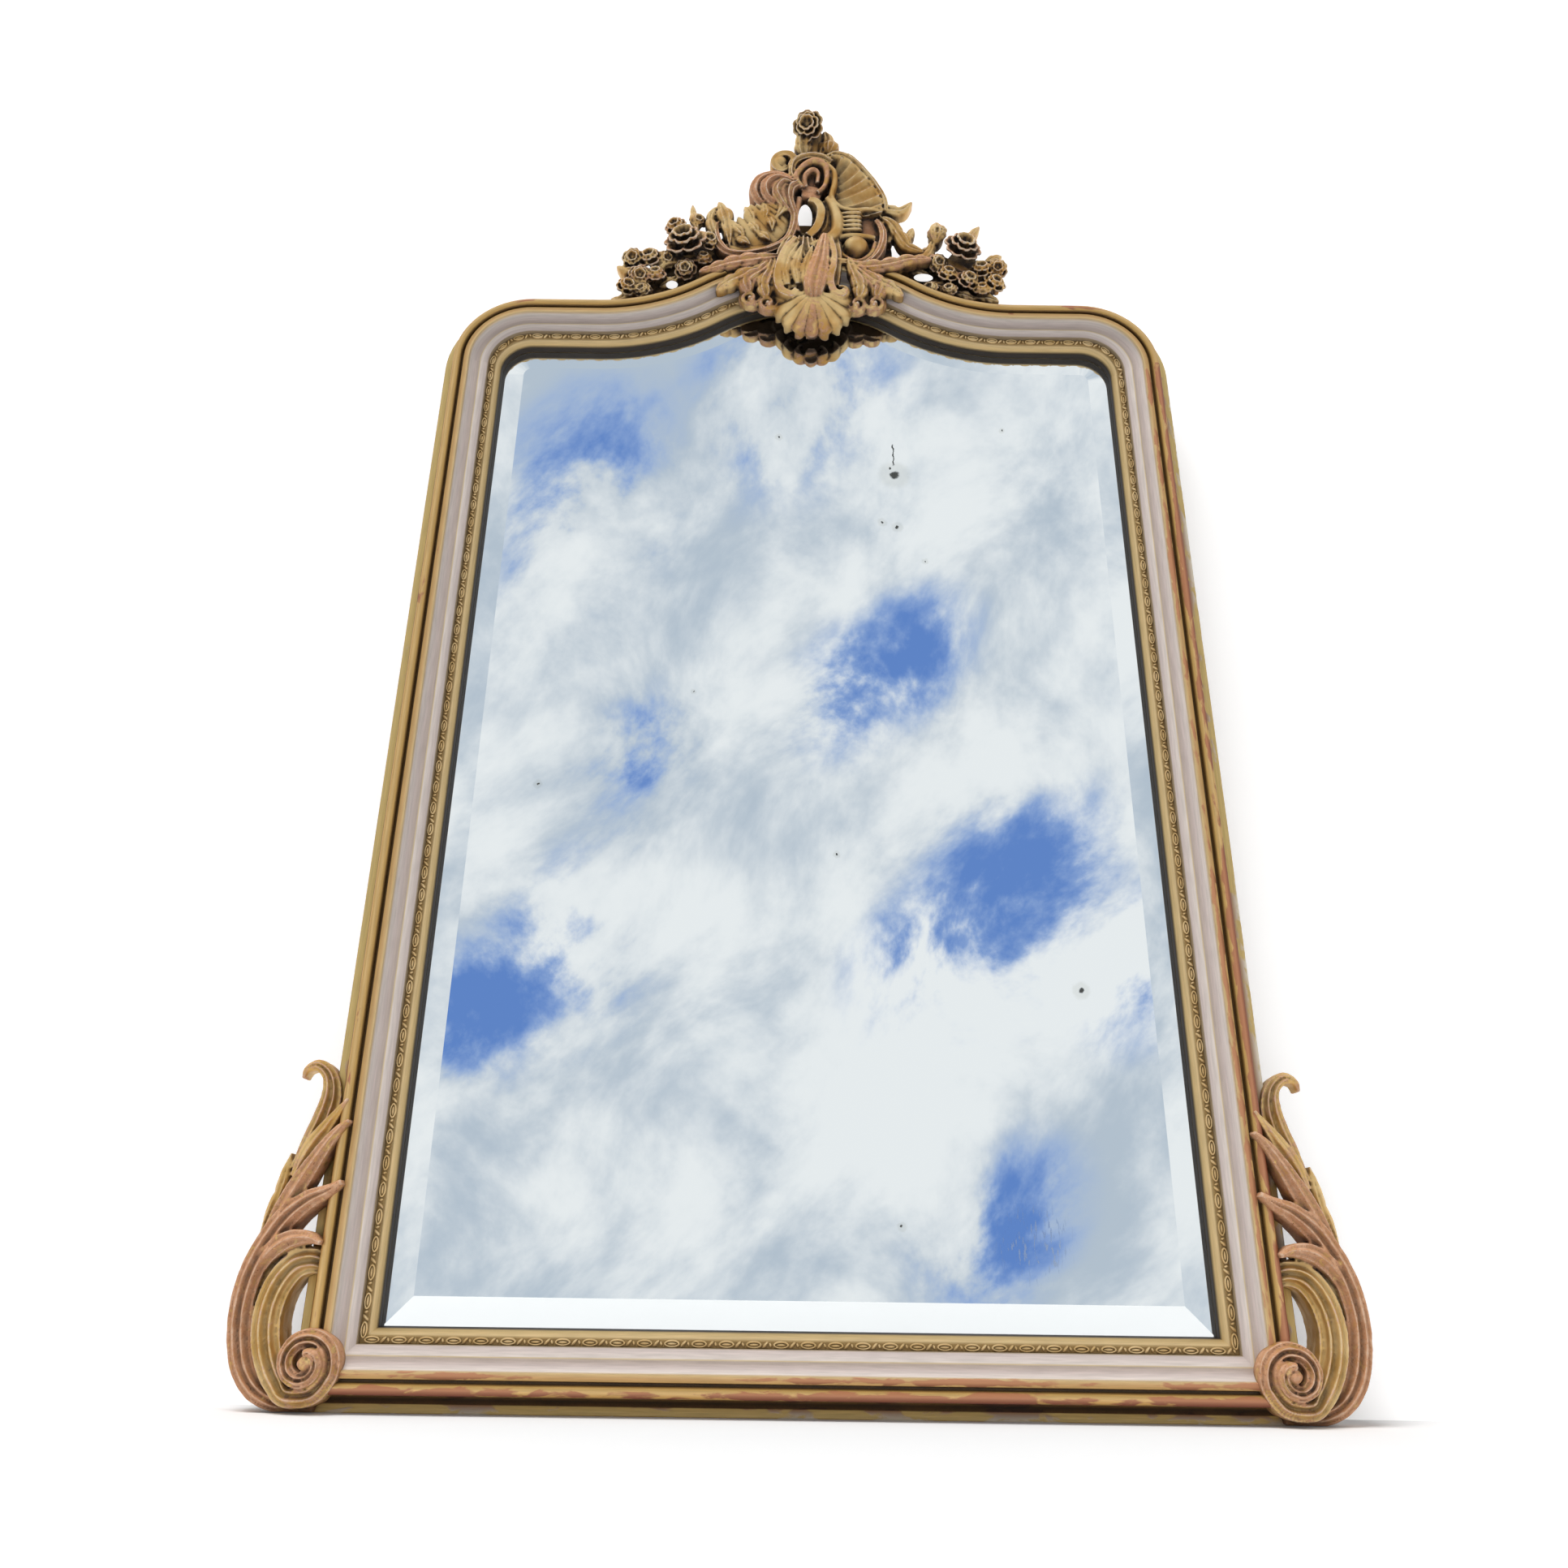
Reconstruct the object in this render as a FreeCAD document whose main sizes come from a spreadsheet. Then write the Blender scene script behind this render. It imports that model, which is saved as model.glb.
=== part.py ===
import FreeCAD, Part
import math
import os
import Sketcher
from FreeCAD import Vector

# Carved, gilded and painted overmantel mirror.  Millimetres, +Z up, front to -Y.
# The origin lies in the middle of the flat underside of the bottom rail.
# Heights towards the viewer are counted from the front plane of the carcass as "v",
# and places across a moulding from the sight edge of the glass outwards as "u".

doc = FreeCAD.newDocument("overmantel_mirror")
sheet = doc.addObject("Spreadsheet::Sheet", "sizes")

DRIVING = [
    ("frame_width", 950, "outer width over the stiles"),
    ("sight_height", 1193, "glass seen at the shoulders, bottom to top"),
    ("carcass_depth", 30, "thickness of the softwood carcass"),
    ("shoulder_radius", 40, "round corner of the glass at the shoulder"),
    ("sweep_start", 275, "half width where the top starts to rise"),
    ("sweep_radius", 290, "hollow sweep up to the crown, at the glass"),
    ("sweep_angle", 33.5, "slope where hollow sweep and crown meet, degrees"),
    ("lip_rise", 5, "upright lip at the glass"),
    ("sight_width", 7, "gilded sight hollow across"),
    ("sight_rise", 16.5, "front of the sight hollow"),
    ("bead_width", 7, "bead run across"),
    ("bead_rise", 18, "front of the bead run's ground"),
    ("flat_width", 10, "painted flat across"),
    ("flat_rise", 24, "painted flat at its inner edge"),
    ("arris_rise", 27, "painted flat at its outer edge"),
    ("cove_width", 12, "painted cove across"),
    ("cove_rise", 10, "painted cove, how far it climbs"),
    ("band_width", 7, "gilded band outside the cove"),
    ("quirk_width", 3.5, "groove inside the torus"),
    ("quirk_depth", 4.5, "depth of that groove"),
    ("torus_width", 10, "torus across"),
    ("torus_crown", 3.3, "front of the torus over the band"),
    ("hollow_width", 8.5, "outer hollow across"),
    ("edge_width", 8, "outer flat across"),
    ("edge_rise", 12, "front of the outer flat"),
    ("rebate", 8.5, "carcass set back behind the sight edge"),
    ("glass_gap", 0.5, "room between glass and carcass"),
    ("glass_thickness", 6, "mirror plate"),
    ("glass_proud", 1.4, "face of the plate in front of the carcass"),
    ("bevel_width", 36, "bevel from the edge of the plate"),
    ("bevel_drop", 2, "bevel, how much thinner at the edge"),
    ("silver_thickness", 0.2, "silvering and its backing paint"),
    ("board_ledge", 22, "edge of the ledge for the back boards"),
    ("board_seat", 14, "ledge behind the carcass front"),
    ("board_thickness", 9, "back boards"),
    ("board_count", 5, "back boards, one above another"),
    ("board_gap", 1, "gap between the boards"),
    ("board_play", 0.5, "gap round the boards"),
    ("block_length", 46, "glass blocks along the edge"),
    ("block_reach", 6, "glass blocks inside the sight edge"),
    ("nail_shank", 0.9, "radius of a nail"),
    ("nail_head", 2.4, "radius of a nail's head"),
    ("nail_length", 17, "nail under its head"),
    ("nail_head_rise", 0.8, "thickness of a nail's head"),
    ("tongue_width", 28, "bridle tongue on the stile"),
    ("tongue_length", 38, "bridle tongue above the spring"),
    ("joint_play", 0.2, "play in the bridle joint"),
    ("crest_back", 12, "back of the crest behind the carcass front"),
    ("crest_front", 20, "front of the crest plank"),
    ("crest_height", 268, "tip of the crest over the crown"),
    ("crest_half", 250, "half width of the crest wings"),
    ("lap_rise", 41, "back of the carving lapped over the moulding"),
    ("batten_width", 60, "batten behind the crest"),
    ("batten_height", 90, "batten behind the crest"),
    ("strap_width", 22, "iron strap"),
    ("strap_length", 120, "iron strap"),
    ("strap_thickness", 2, "iron strap"),
    ("strap_spacing", 34, "between the two straps"),
    ("strap_hole_spacing", 76, "between a strap's two holes"),
    ("screw_shank", 2, "radius of a screw"),
    ("screw_head", 4, "radius of a screw's head"),
    ("screw_rise", 1.6, "height of a screw's head"),
    ("screw_length", 16, "screw under its head"),
    ("hanger_drop", 260, "hanger axis below the shoulder of the glass"),
    ("hanger_length", 60, "hanger plate, upright"),
    ("hanger_width", 20, "hanger plate, across"),
    ("hanger_thickness", 1.6, "hanger plate"),
    ("hanger_hole_spacing", 44, "between the plate's two holes"),
    ("barrel_radius", 4, "knuckle that holds the ring"),
    ("barrel_length", 13, "knuckle that holds the ring"),
    ("barrel_play", 0.4, "room round the ring's wire"),
    ("ring_wire", 1.8, "radius of the ring's wire"),
    ("ring_radius", 14, "ring, to the middle of its wire"),
    ("corner_reach", 69, "corner scroll beyond the stile"),
    ("corner_height", 165, "corner scroll over the base"),
    ("volute_radius", 29, "volute over the lower corner"),
    ("volute_rise", 13, "volute in front of the torus"),
]

for row, (alias, number, meaning) in enumerate(DRIVING, start=1):
    sheet.set("A%d" % row, alias)
    sheet.set("B%d" % row, str(number))
    sheet.set("C%d" % row, meaning)
    sheet.setAlias("B%d" % row, alias)
doc.recompute()


class Sizes:
    """The sheet's cells as plain attributes."""


size = Sizes()
for alias, number, meaning in DRIVING:
    setattr(size, alias, float(sheet.get(alias)))

# ---- sizes that follow from the driving ones ---------------------------------

EDGES_IN_ORDER = ("sight_width", "bead_width", "flat_width", "cove_width", "band_width",
                  "quirk_width", "torus_width", "hollow_width", "edge_width")
MEMBER = " + ".join("sizes." + name for name in EDGES_IN_ORDER)
member = sum(getattr(size, name) for name in EDGES_IN_ORDER)
half_frame = size.frame_width / 2
half_sight = half_frame - member
sight_top = member + size.sight_height
spring = sight_top - size.shoulder_radius
back_y = (size.carcass_depth + size.edge_rise) / 2
face_y = back_y - size.carcass_depth
band_rise = size.arris_rise + size.cove_rise
torus_rise = band_rise + size.torus_crown

slope = math.radians(size.sweep_angle)
sweep_end = size.sweep_start - size.sweep_radius * math.sin(slope)
sweep_end_height = sight_top + size.sweep_radius * (1 - math.cos(slope))
crown_radius = sweep_end / math.sin(slope)
crown_centre = sweep_end_height - crown_radius * math.cos(slope)
crown_top = crown_centre + crown_radius + member

BACK_Y = "(sizes.carcass_depth + sizes.edge_rise) / 2"
FACE_Y = "((sizes.edge_rise - sizes.carcass_depth) / 2)"
HALF_SIGHT = "(sizes.frame_width / 2 - (%s))" % MEMBER
SPRING = "(%s + sizes.sight_height - sizes.shoulder_radius)" % MEMBER


def at(x, z, v):
    """A point from its place in the front view and its height v."""
    return Vector(x, face_y - v, z)


# ---- document objects ---------------------------------------------------------

parts = []


def keep(obj, label):
    """Registers a finished sub-part under the name of its node."""
    obj.Label = label
    parts.append(obj)
    return obj


def shaped(label, shape):
    """A sub-part whose shape follows a curve that no primitive gives."""
    obj = doc.addObject("Part::Feature", label)
    obj.Shape = shape
    obj.Placement = FreeCAD.Placement()
    return keep(obj, label)


def bound_box(name, length, width, height, x, y, z):
    """A box with all its sizes and its place bound to the sheet."""
    box = doc.addObject("Part::Box", name)
    box.setExpression("Length", length)
    box.setExpression("Width", width)
    box.setExpression("Height", height)
    box.setExpression("Placement.Base.x", x)
    box.setExpression("Placement.Base.y", y)
    box.setExpression("Placement.Base.z", z)
    return box


def cut_object(name, base, tools):
    """The base object less each of the tools, one after another."""
    result = base
    for number, tool in enumerate(tools, start=1):
        cut = doc.addObject("Part::Cut", "%s_cut_%d" % (name, number))
        cut.Base = result
        cut.Tool = tool
        result = cut
    return result


def plane_of(body, role):
    """One of a body's own origin planes."""
    for feature in body.Origin.OriginFeatures:
        if feature.Role == role:
            return feature
    raise ValueError(role)


# ---- outlines in the front view -------------------------------------------------

def arc(first, middle, last):
    return Part.Arc(first, middle, last).toShape()


def on_circle(centre_x, centre_z, radius, angle, v):
    return at(centre_x + radius * math.cos(angle), centre_z + radius * math.sin(angle), v)


def arch_edges(u, v):
    """The outline of the top at distance u from the sight edge, right spring to left."""
    corner_x = half_sight - size.shoulder_radius
    corner = size.shoulder_radius + u
    sweep = size.sweep_radius - u
    crown = crown_radius + u
    sweep_z = sight_top + size.sweep_radius
    half_turn = math.pi / 2
    edges = []
    for side in (1, -1):
        ends = [
            (corner_x, spring, corner, 0, half_turn / 2, half_turn),
            (size.sweep_start, sweep_z, sweep, -half_turn, -half_turn - slope / 2,
             -half_turn - slope),
        ]
        arcs = []
        for centre_x, centre_z, radius, start, middle, stop in ends:
            three = [on_circle(centre_x, centre_z, radius, angle, v)
                     for angle in (start, middle, stop)]
            for point in three:
                point.x *= side
            arcs.append(arc(*three))
        flat = Part.LineSegment(at(side * corner_x, sight_top + u, v),
                                at(side * size.sweep_start, sight_top + u, v)).toShape()
        half = [arcs[0], flat, arcs[1]]
        edges.append(half)
    crown_edge = arc(on_circle(0, crown_centre, crown, half_turn - slope, v),
                     on_circle(0, crown_centre, crown, half_turn, v),
                     on_circle(0, crown_centre, crown, half_turn + slope, v))
    return edges[0] + [crown_edge] + edges[1][::-1]


def closed_outline(u, v):
    """The whole outline of the frame at distance u from the sight edge."""
    wide = half_sight + u
    low = member - u
    edges = arch_edges(u, v)
    edges.append(Part.LineSegment(at(-wide, spring, v), at(-wide, low, v)).toShape())
    edges.append(Part.LineSegment(at(-wide, low, v), at(wide, low, v)).toShape())
    edges.append(Part.LineSegment(at(wide, low, v), at(wide, spring, v)).toShape())
    return Part.Wire(Part.__sortEdges__(edges))


def outline_slab(u, v_back, v_front):
    """A plate with the frame's outline, from v_back to v_front."""
    face = Part.Face(closed_outline(u, v_back))
    return face.extrude(Vector(0, v_back - v_front, 0))


def front_box(x_low, x_high, z_low, z_high, v_back, v_front):
    """A box from its front view and its heights."""
    return Part.makeBox(x_high - x_low, v_front - v_back, z_high - z_low,
                        Vector(x_low, face_y - v_front, z_low))


def front_prism(points, v_back, v_front):
    """A plate with straight edges from its corners in the front view."""
    corners = [at(x, z, v_back) for x, z in points]
    wire = Part.makePolygon(corners + corners[:1])
    return Part.Face(wire).extrude(Vector(0, v_back - v_front, 0))


def curved_plate(points, v_back, v_front):
    """A sawn plate whose closed outline is a smooth curve through the points."""
    curve = Part.BSplineCurve()
    curve.interpolate([at(x, z, v_back) for x, z in points], PeriodicFlag=True)
    face = Part.Face(Part.Wire(curve.toShape()))
    return face.extrude(Vector(0, v_back - v_front, 0))


def largest(shape):
    """The main solid of a cut shape."""
    return max(shape.Solids, key=lambda solid: solid.Volume)


# ---- mouldings --------------------------------------------------------------------

def profile_face(profile, start_x, start_z, across_x, across_z):
    """A moulding's section: u runs across from the start point, v to the front."""
    def spot(pair):
        u, v = pair
        return at(start_x + u * across_x, start_z + u * across_z, v)

    edges = []
    here = profile[0]
    for step in profile[1:]:
        if len(step) == 4:
            edges.append(arc(spot(here), spot(step[:2]), spot(step[2:])))
            here = step[2:]
        else:
            edges.append(Part.LineSegment(spot(here), spot(step)).toShape())
            here = step
    edges.append(Part.LineSegment(spot(here), spot(profile[0])).toShape())
    return Part.Face(Part.Wire(edges))


def mitred(profile, region, start_x, start_z, across_x, across_z, travel):
    """A straight run of moulding kept inside its mitred region of the front view."""
    run = profile_face(profile, start_x, start_z, across_x, across_z).extrude(travel)
    return run.common(front_prism(region, -size.carcass_depth, 2 * torus_rise))


def bottom_run(profile):
    region = [(-half_sight, member), (half_sight, member), (half_frame, 0), (-half_frame, 0)]
    return mitred(profile, region, -half_frame, member, 0, -1,
                  Vector(size.frame_width, 0, 0))


def side_run(profile, side):
    region = [(side * half_sight, member), (side * half_frame, 0),
              (side * half_frame, spring), (side * half_sight, spring)]
    return mitred(profile, region, side * half_sight, 0, side, 0, Vector(0, 0, spring))


def top_run(profile):
    """The moulding along the shoulders, hollow sweeps and crown."""
    corner_x = half_sight - size.shoulder_radius
    towards_viewer = Vector(0, -1, 0)
    away = Vector(0, 1, 0)
    corner = profile_face(profile, half_sight, spring, 1, 0).revolve(
        at(corner_x, spring, 0), towards_viewer, 90)
    flat = profile_face(profile, corner_x, sight_top, 0, 1).extrude(
        Vector(size.sweep_start - corner_x, 0, 0))
    sweep = profile_face(profile, size.sweep_start, sight_top, 0, 1).revolve(
        at(size.sweep_start, sight_top + size.sweep_radius, 0), away, size.sweep_angle)
    crown = profile_face(profile, sweep_end, sweep_end_height,
                         math.sin(slope), math.cos(slope)).revolve(
        at(0, crown_centre, 0), towards_viewer, 2 * size.sweep_angle)
    right = [corner, flat, sweep]
    left = [piece.mirror(Vector(0, 0, 0), Vector(1, 0, 0)) for piece in right]
    run = right[0].fuse(right[1:] + [crown] + left)
    return largest(run.removeSplitter())


u_bead = size.sight_width
u_flat = u_bead + size.bead_width
u_arris = u_flat + size.flat_width
u_band = u_arris + size.cove_width
u_quirk = u_band + size.band_width
u_torus = u_quirk + size.quirk_width
u_hollow = u_torus + size.torus_width
u_edge = u_hollow + size.hollow_width
QUARTER = math.sqrt(0.5)

sight_profile = [
    (0, 0),
    (0, size.lip_rise),
    (u_bead * (1 - QUARTER), size.lip_rise + (size.sight_rise - size.lip_rise) * QUARTER,
     u_bead, size.sight_rise),
    (u_bead, size.bead_rise),
    (u_flat, size.bead_rise),
    (u_flat, 0),
]
cove_profile = [
    (u_flat, 0),
    (u_flat, size.flat_rise),
    (u_arris, size.arris_rise),
    (u_arris + size.cove_width * QUARTER, band_rise - size.cove_rise * QUARTER,
     u_band, band_rise),
    (u_quirk, band_rise),
    (u_quirk, 0),
]
hollow_top = band_rise - size.quirk_depth / 2
outer_profile = [
    (u_quirk, 0),
    (u_quirk, band_rise - size.quirk_depth),
    (u_torus, band_rise - size.quirk_depth),
    (u_torus + size.torus_width / 2, torus_rise, u_hollow, hollow_top),
    (u_edge - size.hollow_width * QUARTER, hollow_top - (hollow_top - size.edge_rise) * QUARTER,
     u_edge, size.edge_rise),
    (member, size.edge_rise),
    (member, 0),
]

mouldings = {}
for name, profile in (("sight_edge", sight_profile), ("painted_cove", cove_profile),
                      ("outer_moulding", outer_profile)):
    mouldings[name + "_bottom"] = bottom_run(profile)
    mouldings[name + "_left"] = side_run(profile, -1)
    mouldings[name + "_right"] = side_run(profile, 1)
    mouldings[name + "_top"] = top_run(profile)
for name, solid in mouldings.items():
    shaped(name, solid)

# ---- softwood carcass, half-lapped below and bridled above ---------------------------

CARCASS_INSIDE = "(%s + sizes.rebate)" % HALF_SIGHT
RAIL_HEIGHT = "((%s) - sizes.rebate)" % MEMBER
STILE_WIDTH = "(sizes.frame_width / 2 - %s)" % CARCASS_INSIDE
HALF_DEPTH = "(sizes.carcass_depth / 2)"
MIDDLE_Y = "(%s - %s)" % (BACK_Y, HALF_DEPTH)
LEDGE_Y = "(%s + sizes.board_seat)" % FACE_Y
LEDGE_DEPTH = "(sizes.carcass_depth - sizes.board_seat)"
LEDGE_HALF = "(%s + sizes.board_ledge)" % HALF_SIGHT
LEDGE_LOW = "((%s) - sizes.board_ledge)" % MEMBER

rail = bound_box("bottom_rail_blank", "sizes.frame_width", "sizes.carcass_depth", RAIL_HEIGHT,
                 "-sizes.frame_width / 2", FACE_Y, "0")
rail_ledge = bound_box("bottom_rail_ledge", "2 * " + LEDGE_HALF, LEDGE_DEPTH,
                       "%s - %s" % (RAIL_HEIGHT, LEDGE_LOW), "-" + LEDGE_HALF, LEDGE_Y, LEDGE_LOW)
rail_lap_left = bound_box("bottom_rail_lap_left", STILE_WIDTH, HALF_DEPTH, RAIL_HEIGHT,
                          "-sizes.frame_width / 2", FACE_Y, "0")
rail_lap_right = bound_box("bottom_rail_lap_right", STILE_WIDTH, HALF_DEPTH, RAIL_HEIGHT,
                           CARCASS_INSIDE, FACE_Y, "0")
keep(cut_object("carcass_bottom_rail", rail, [rail_ledge, rail_lap_left, rail_lap_right]),
     "carcass_bottom_rail")

TONGUE_X = "(%s + sizes.board_ledge + 1)" % HALF_SIGHT
for label, x_stile, x_ledge, x_tongue in (
        ("left", "-sizes.frame_width / 2", "-" + LEDGE_HALF, "-%s - sizes.tongue_width" % TONGUE_X),
        ("right", CARCASS_INSIDE, CARCASS_INSIDE, TONGUE_X)):
    name = "carcass_%s_stile" % label
    blank = bound_box(name + "_blank", STILE_WIDTH, "sizes.carcass_depth", SPRING,
                      x_stile, FACE_Y, "0")
    lap = bound_box(name + "_lap", STILE_WIDTH, HALF_DEPTH, RAIL_HEIGHT, x_stile, MIDDLE_Y, "0")
    ledge = bound_box(name + "_ledge", "sizes.board_ledge - sizes.rebate", LEDGE_DEPTH,
                      SPRING, x_ledge, LEDGE_Y, "0")
    tongue = bound_box(name + "_tongue", "sizes.tongue_width", HALF_DEPTH,
                       "sizes.tongue_length", x_tongue, MIDDLE_Y, SPRING)
    stile = cut_object(name, blank, [lap, ledge])
    joined = doc.addObject("Part::Fuse", name + "_joined")
    joined.Base = stile
    joined.Tool = tongue
    joined.Refine = True
    keep(joined, name)

board_seat_v = -size.board_seat
tongue_x = half_sight + size.board_ledge + 1
top_rail = outline_slab(member, -size.carcass_depth, 0)
top_rail = top_rail.cut(outline_slab(size.rebate, -size.carcass_depth, 0))
top_rail = top_rail.cut(outline_slab(size.board_ledge, -size.carcass_depth, board_seat_v))
above_spring = front_box(-size.frame_width, size.frame_width, spring, crown_top + member,
                         -size.carcass_depth, 0)
top_rail = top_rail.common(above_spring)
for side in (-1, 1):
    x_pair = sorted((side * (tongue_x - size.joint_play),
                     side * (tongue_x + size.tongue_width + size.joint_play)))
    mortise = front_box(x_pair[0], x_pair[1], spring,
                        spring + size.tongue_length + size.joint_play,
                        -size.carcass_depth, -size.carcass_depth / 2 + size.joint_play)
    top_rail = top_rail.cut(mortise)
shaped("carcass_top_rail", largest(top_rail))

# ---- mirror plate, silvering, blocks -----------------------------------------------------

glass_u = size.rebate - size.glass_gap
glass_back = size.glass_proud - size.glass_thickness
bevel_foot = size.glass_proud - size.bevel_drop
plate = outline_slab(glass_u, glass_back, bevel_foot)
field = Part.makeLoft([closed_outline(glass_u, bevel_foot),
                       closed_outline(glass_u - size.bevel_width, size.glass_proud)], True, True)
shaped("mirror_glass", largest(plate.fuse(field)))
silver_back = glass_back - size.silver_thickness
shaped("silvering", outline_slab(glass_u, silver_back, glass_back))

BLOCK_HEIGHTS = (0.14, 0.5, 0.86)
BLOCK_PLACES = (0.2, 0.5, 0.8)
blocks = []
for share in BLOCK_HEIGHTS:
    z_block = member + share * (spring - member)
    for side in (-1, 1):
        x_pair = sorted((side * (half_sight - size.block_reach), side * (half_sight + size.rebate)))
        blocks.append(front_box(x_pair[0], x_pair[1], z_block - size.block_length / 2,
                                z_block + size.block_length / 2, board_seat_v, silver_back))
for share in BLOCK_PLACES:
    x_block = half_sight * (2 * share - 1)
    blocks.append(front_box(x_block - size.block_length / 2, x_block + size.block_length / 2,
                            member - size.rebate, member + size.block_reach,
                            board_seat_v, silver_back))
shaped("glass_blocks", Part.makeCompound(blocks))

# ---- back boards and their nails --------------------------------------------------------------

BOARD_HALF = "(%s - sizes.board_play)" % LEDGE_HALF
BOARD_LOW = "(%s + sizes.board_play)" % LEDGE_LOW
BOARD_PITCH = "((%s - %s) / sizes.board_count)" % (SPRING, BOARD_LOW)
board_low = member - size.board_ledge + size.board_play
board_count = int(size.board_count)
board_pitch = (spring - board_low) / board_count
for number in range(1, board_count):
    board = bound_box("back_board_%d" % number, "2 * " + BOARD_HALF, "sizes.board_thickness",
                      "%s - sizes.board_gap" % BOARD_PITCH, "-" + BOARD_HALF, LEDGE_Y,
                      "%s + %d * %s" % (BOARD_LOW, number - 1, BOARD_PITCH))
    keep(board, "back_board_%d" % number)
board_back = board_seat_v - size.board_thickness
top_board_low = board_low + (board_count - 1) * board_pitch
top_board = outline_slab(size.board_ledge - size.board_play, board_back, board_seat_v)
top_board = top_board.common(front_box(-size.frame_width, size.frame_width, top_board_low,
                                       crown_top + member, board_back, board_seat_v))
shaped("back_board_%d" % board_count, largest(top_board))


def pin(x, z, v_face, outward, length, shank, head, head_rise):
    """A nail or screw: head on the face at v_face, shank into it."""
    face = at(x, z, v_face)
    direction = Vector(0, outward, 0)
    stem = Part.makeCylinder(shank, length, face, direction * -1)
    cap = Part.makeCylinder(head, head_rise, face, direction)
    return largest(stem.fuse(cap).removeSplitter())


nail_x = half_sight + (size.rebate + size.board_ledge) / 2
nails = []
for number in range(board_count):
    for share in (0.25, 0.75):
        z_nail = board_low + (number + share) * board_pitch
        for side in (-1, 1):
            nails.append(pin(side * nail_x, z_nail, board_back, 1, size.nail_length,
                             size.nail_shank, size.nail_head, size.nail_head_rise))
shaped("board_nails", Part.makeCompound(nails))

# ---- ring hangers on the back of the stiles -------------------------------------------------------

hanger_x = half_sight + (size.board_ledge + member) / 2
hanger_z = sight_top - size.hanger_drop
ring_y = back_y + size.hanger_thickness + size.barrel_radius
HANGER_X = "(%s + (sizes.board_ledge + %s) / 2)" % (HALF_SIGHT, MEMBER)
HANGER_Z = "(%s + sizes.sight_height - sizes.hanger_drop)" % MEMBER


def hanger_plate(label, side):
    """An oblong screwed plate with a knuckle in its middle; it stands upright."""
    body = doc.addObject("PartDesign::Body", label)
    sketch = body.newObject("Sketcher::SketchObject", label + "_outline")
    sketch.AttachmentSupport = [(plane_of(body, "XZ_Plane"), "")]
    sketch.MapMode = "FlatFace"
    half_wide = size.hanger_width / 2
    half_tall = size.hanger_length / 2
    corners = [(-half_wide, -half_tall), (half_wide, -half_tall),
               (half_wide, half_tall), (-half_wide, half_tall)]
    for number, corner in enumerate(corners):
        following = corners[(number + 1) % 4]
        sketch.addGeometry(Part.LineSegment(Vector(*corner, 0), Vector(*following, 0)), False)
    for number in range(4):
        sketch.addConstraint(Sketcher.Constraint("Coincident", number, 2, (number + 1) % 4, 1))
    for number in (0, 2):
        sketch.addConstraint(Sketcher.Constraint("Horizontal", number))
        sketch.addConstraint(Sketcher.Constraint("Vertical", number + 1))
    sketch.addConstraint(Sketcher.Constraint("Symmetric", 0, 1, 2, 1, -1, 1))
    wide = sketch.addConstraint(Sketcher.Constraint("DistanceX", 0, 1, 0, 2, size.hanger_width))
    tall = sketch.addConstraint(Sketcher.Constraint("DistanceY", 1, 1, 1, 2, size.hanger_length))
    sketch.setExpression("Constraints[%d]" % wide, "sizes.hanger_width")
    sketch.setExpression("Constraints[%d]" % tall, "sizes.hanger_length")
    pad = body.newObject("PartDesign::Pad", label + "_plate")
    pad.Profile = sketch
    pad.setExpression("Length", "sizes.hanger_thickness")
    pad.Reversed = True
    drill = body.newObject("Sketcher::SketchObject", label + "_holes")
    drill.AttachmentSupport = [(plane_of(body, "XZ_Plane"), "")]
    drill.MapMode = "FlatFace"
    for number, sign in enumerate((1, -1)):
        drill.addGeometry(Part.Circle(Vector(0, sign * size.hanger_hole_spacing / 2, 0),
                                      Vector(0, 0, 1), size.screw_shank), False)
        drill.addConstraint(Sketcher.Constraint("PointOnObject", number, 3, -2))
        reach = drill.addConstraint(Sketcher.Constraint(
            "DistanceY", -1, 1, number, 3, sign * size.hanger_hole_spacing / 2))
        bore = drill.addConstraint(Sketcher.Constraint("Radius", number, size.screw_shank))
        drill.setExpression("Constraints[%d]" % reach,
                            "%d * sizes.hanger_hole_spacing / 2" % sign)
        drill.setExpression("Constraints[%d]" % bore, "sizes.screw_shank")
    holes = body.newObject("PartDesign::Pocket", label + "_drilled")
    holes.Profile = drill
    holes.Type = "ThroughAll"
    holes.Midplane = True
    barrel = body.newObject("PartDesign::AdditiveCylinder", label + "_knuckle")
    barrel.setExpression("Radius", "sizes.barrel_radius")
    barrel.setExpression("Height", "sizes.barrel_length")
    barrel.AttachmentSupport = [(plane_of(body, "YZ_Plane"), "")]
    barrel.MapMode = "FlatFace"
    barrel.setExpression("AttachmentOffset.Base.x",
                         "sizes.hanger_thickness + sizes.barrel_radius")
    barrel.setExpression("AttachmentOffset.Base.z", "-sizes.barrel_length / 2")
    hole = body.newObject("PartDesign::SubtractiveCylinder", label + "_bore")
    hole.setExpression("Radius", "sizes.ring_wire + sizes.barrel_play")
    hole.setExpression("Height", "sizes.barrel_length")
    hole.AttachmentSupport = [(plane_of(body, "YZ_Plane"), "")]
    hole.MapMode = "FlatFace"
    hole.setExpression("AttachmentOffset.Base.x",
                       "sizes.hanger_thickness + sizes.barrel_radius")
    hole.setExpression("AttachmentOffset.Base.z", "-sizes.barrel_length / 2")
    body.Tip = hole
    body.setExpression("Placement.Base.x", "%d * %s" % (side, HANGER_X))
    body.setExpression("Placement.Base.y", BACK_Y)
    body.setExpression("Placement.Base.z", HANGER_Z)
    return keep(body, label)


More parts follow.
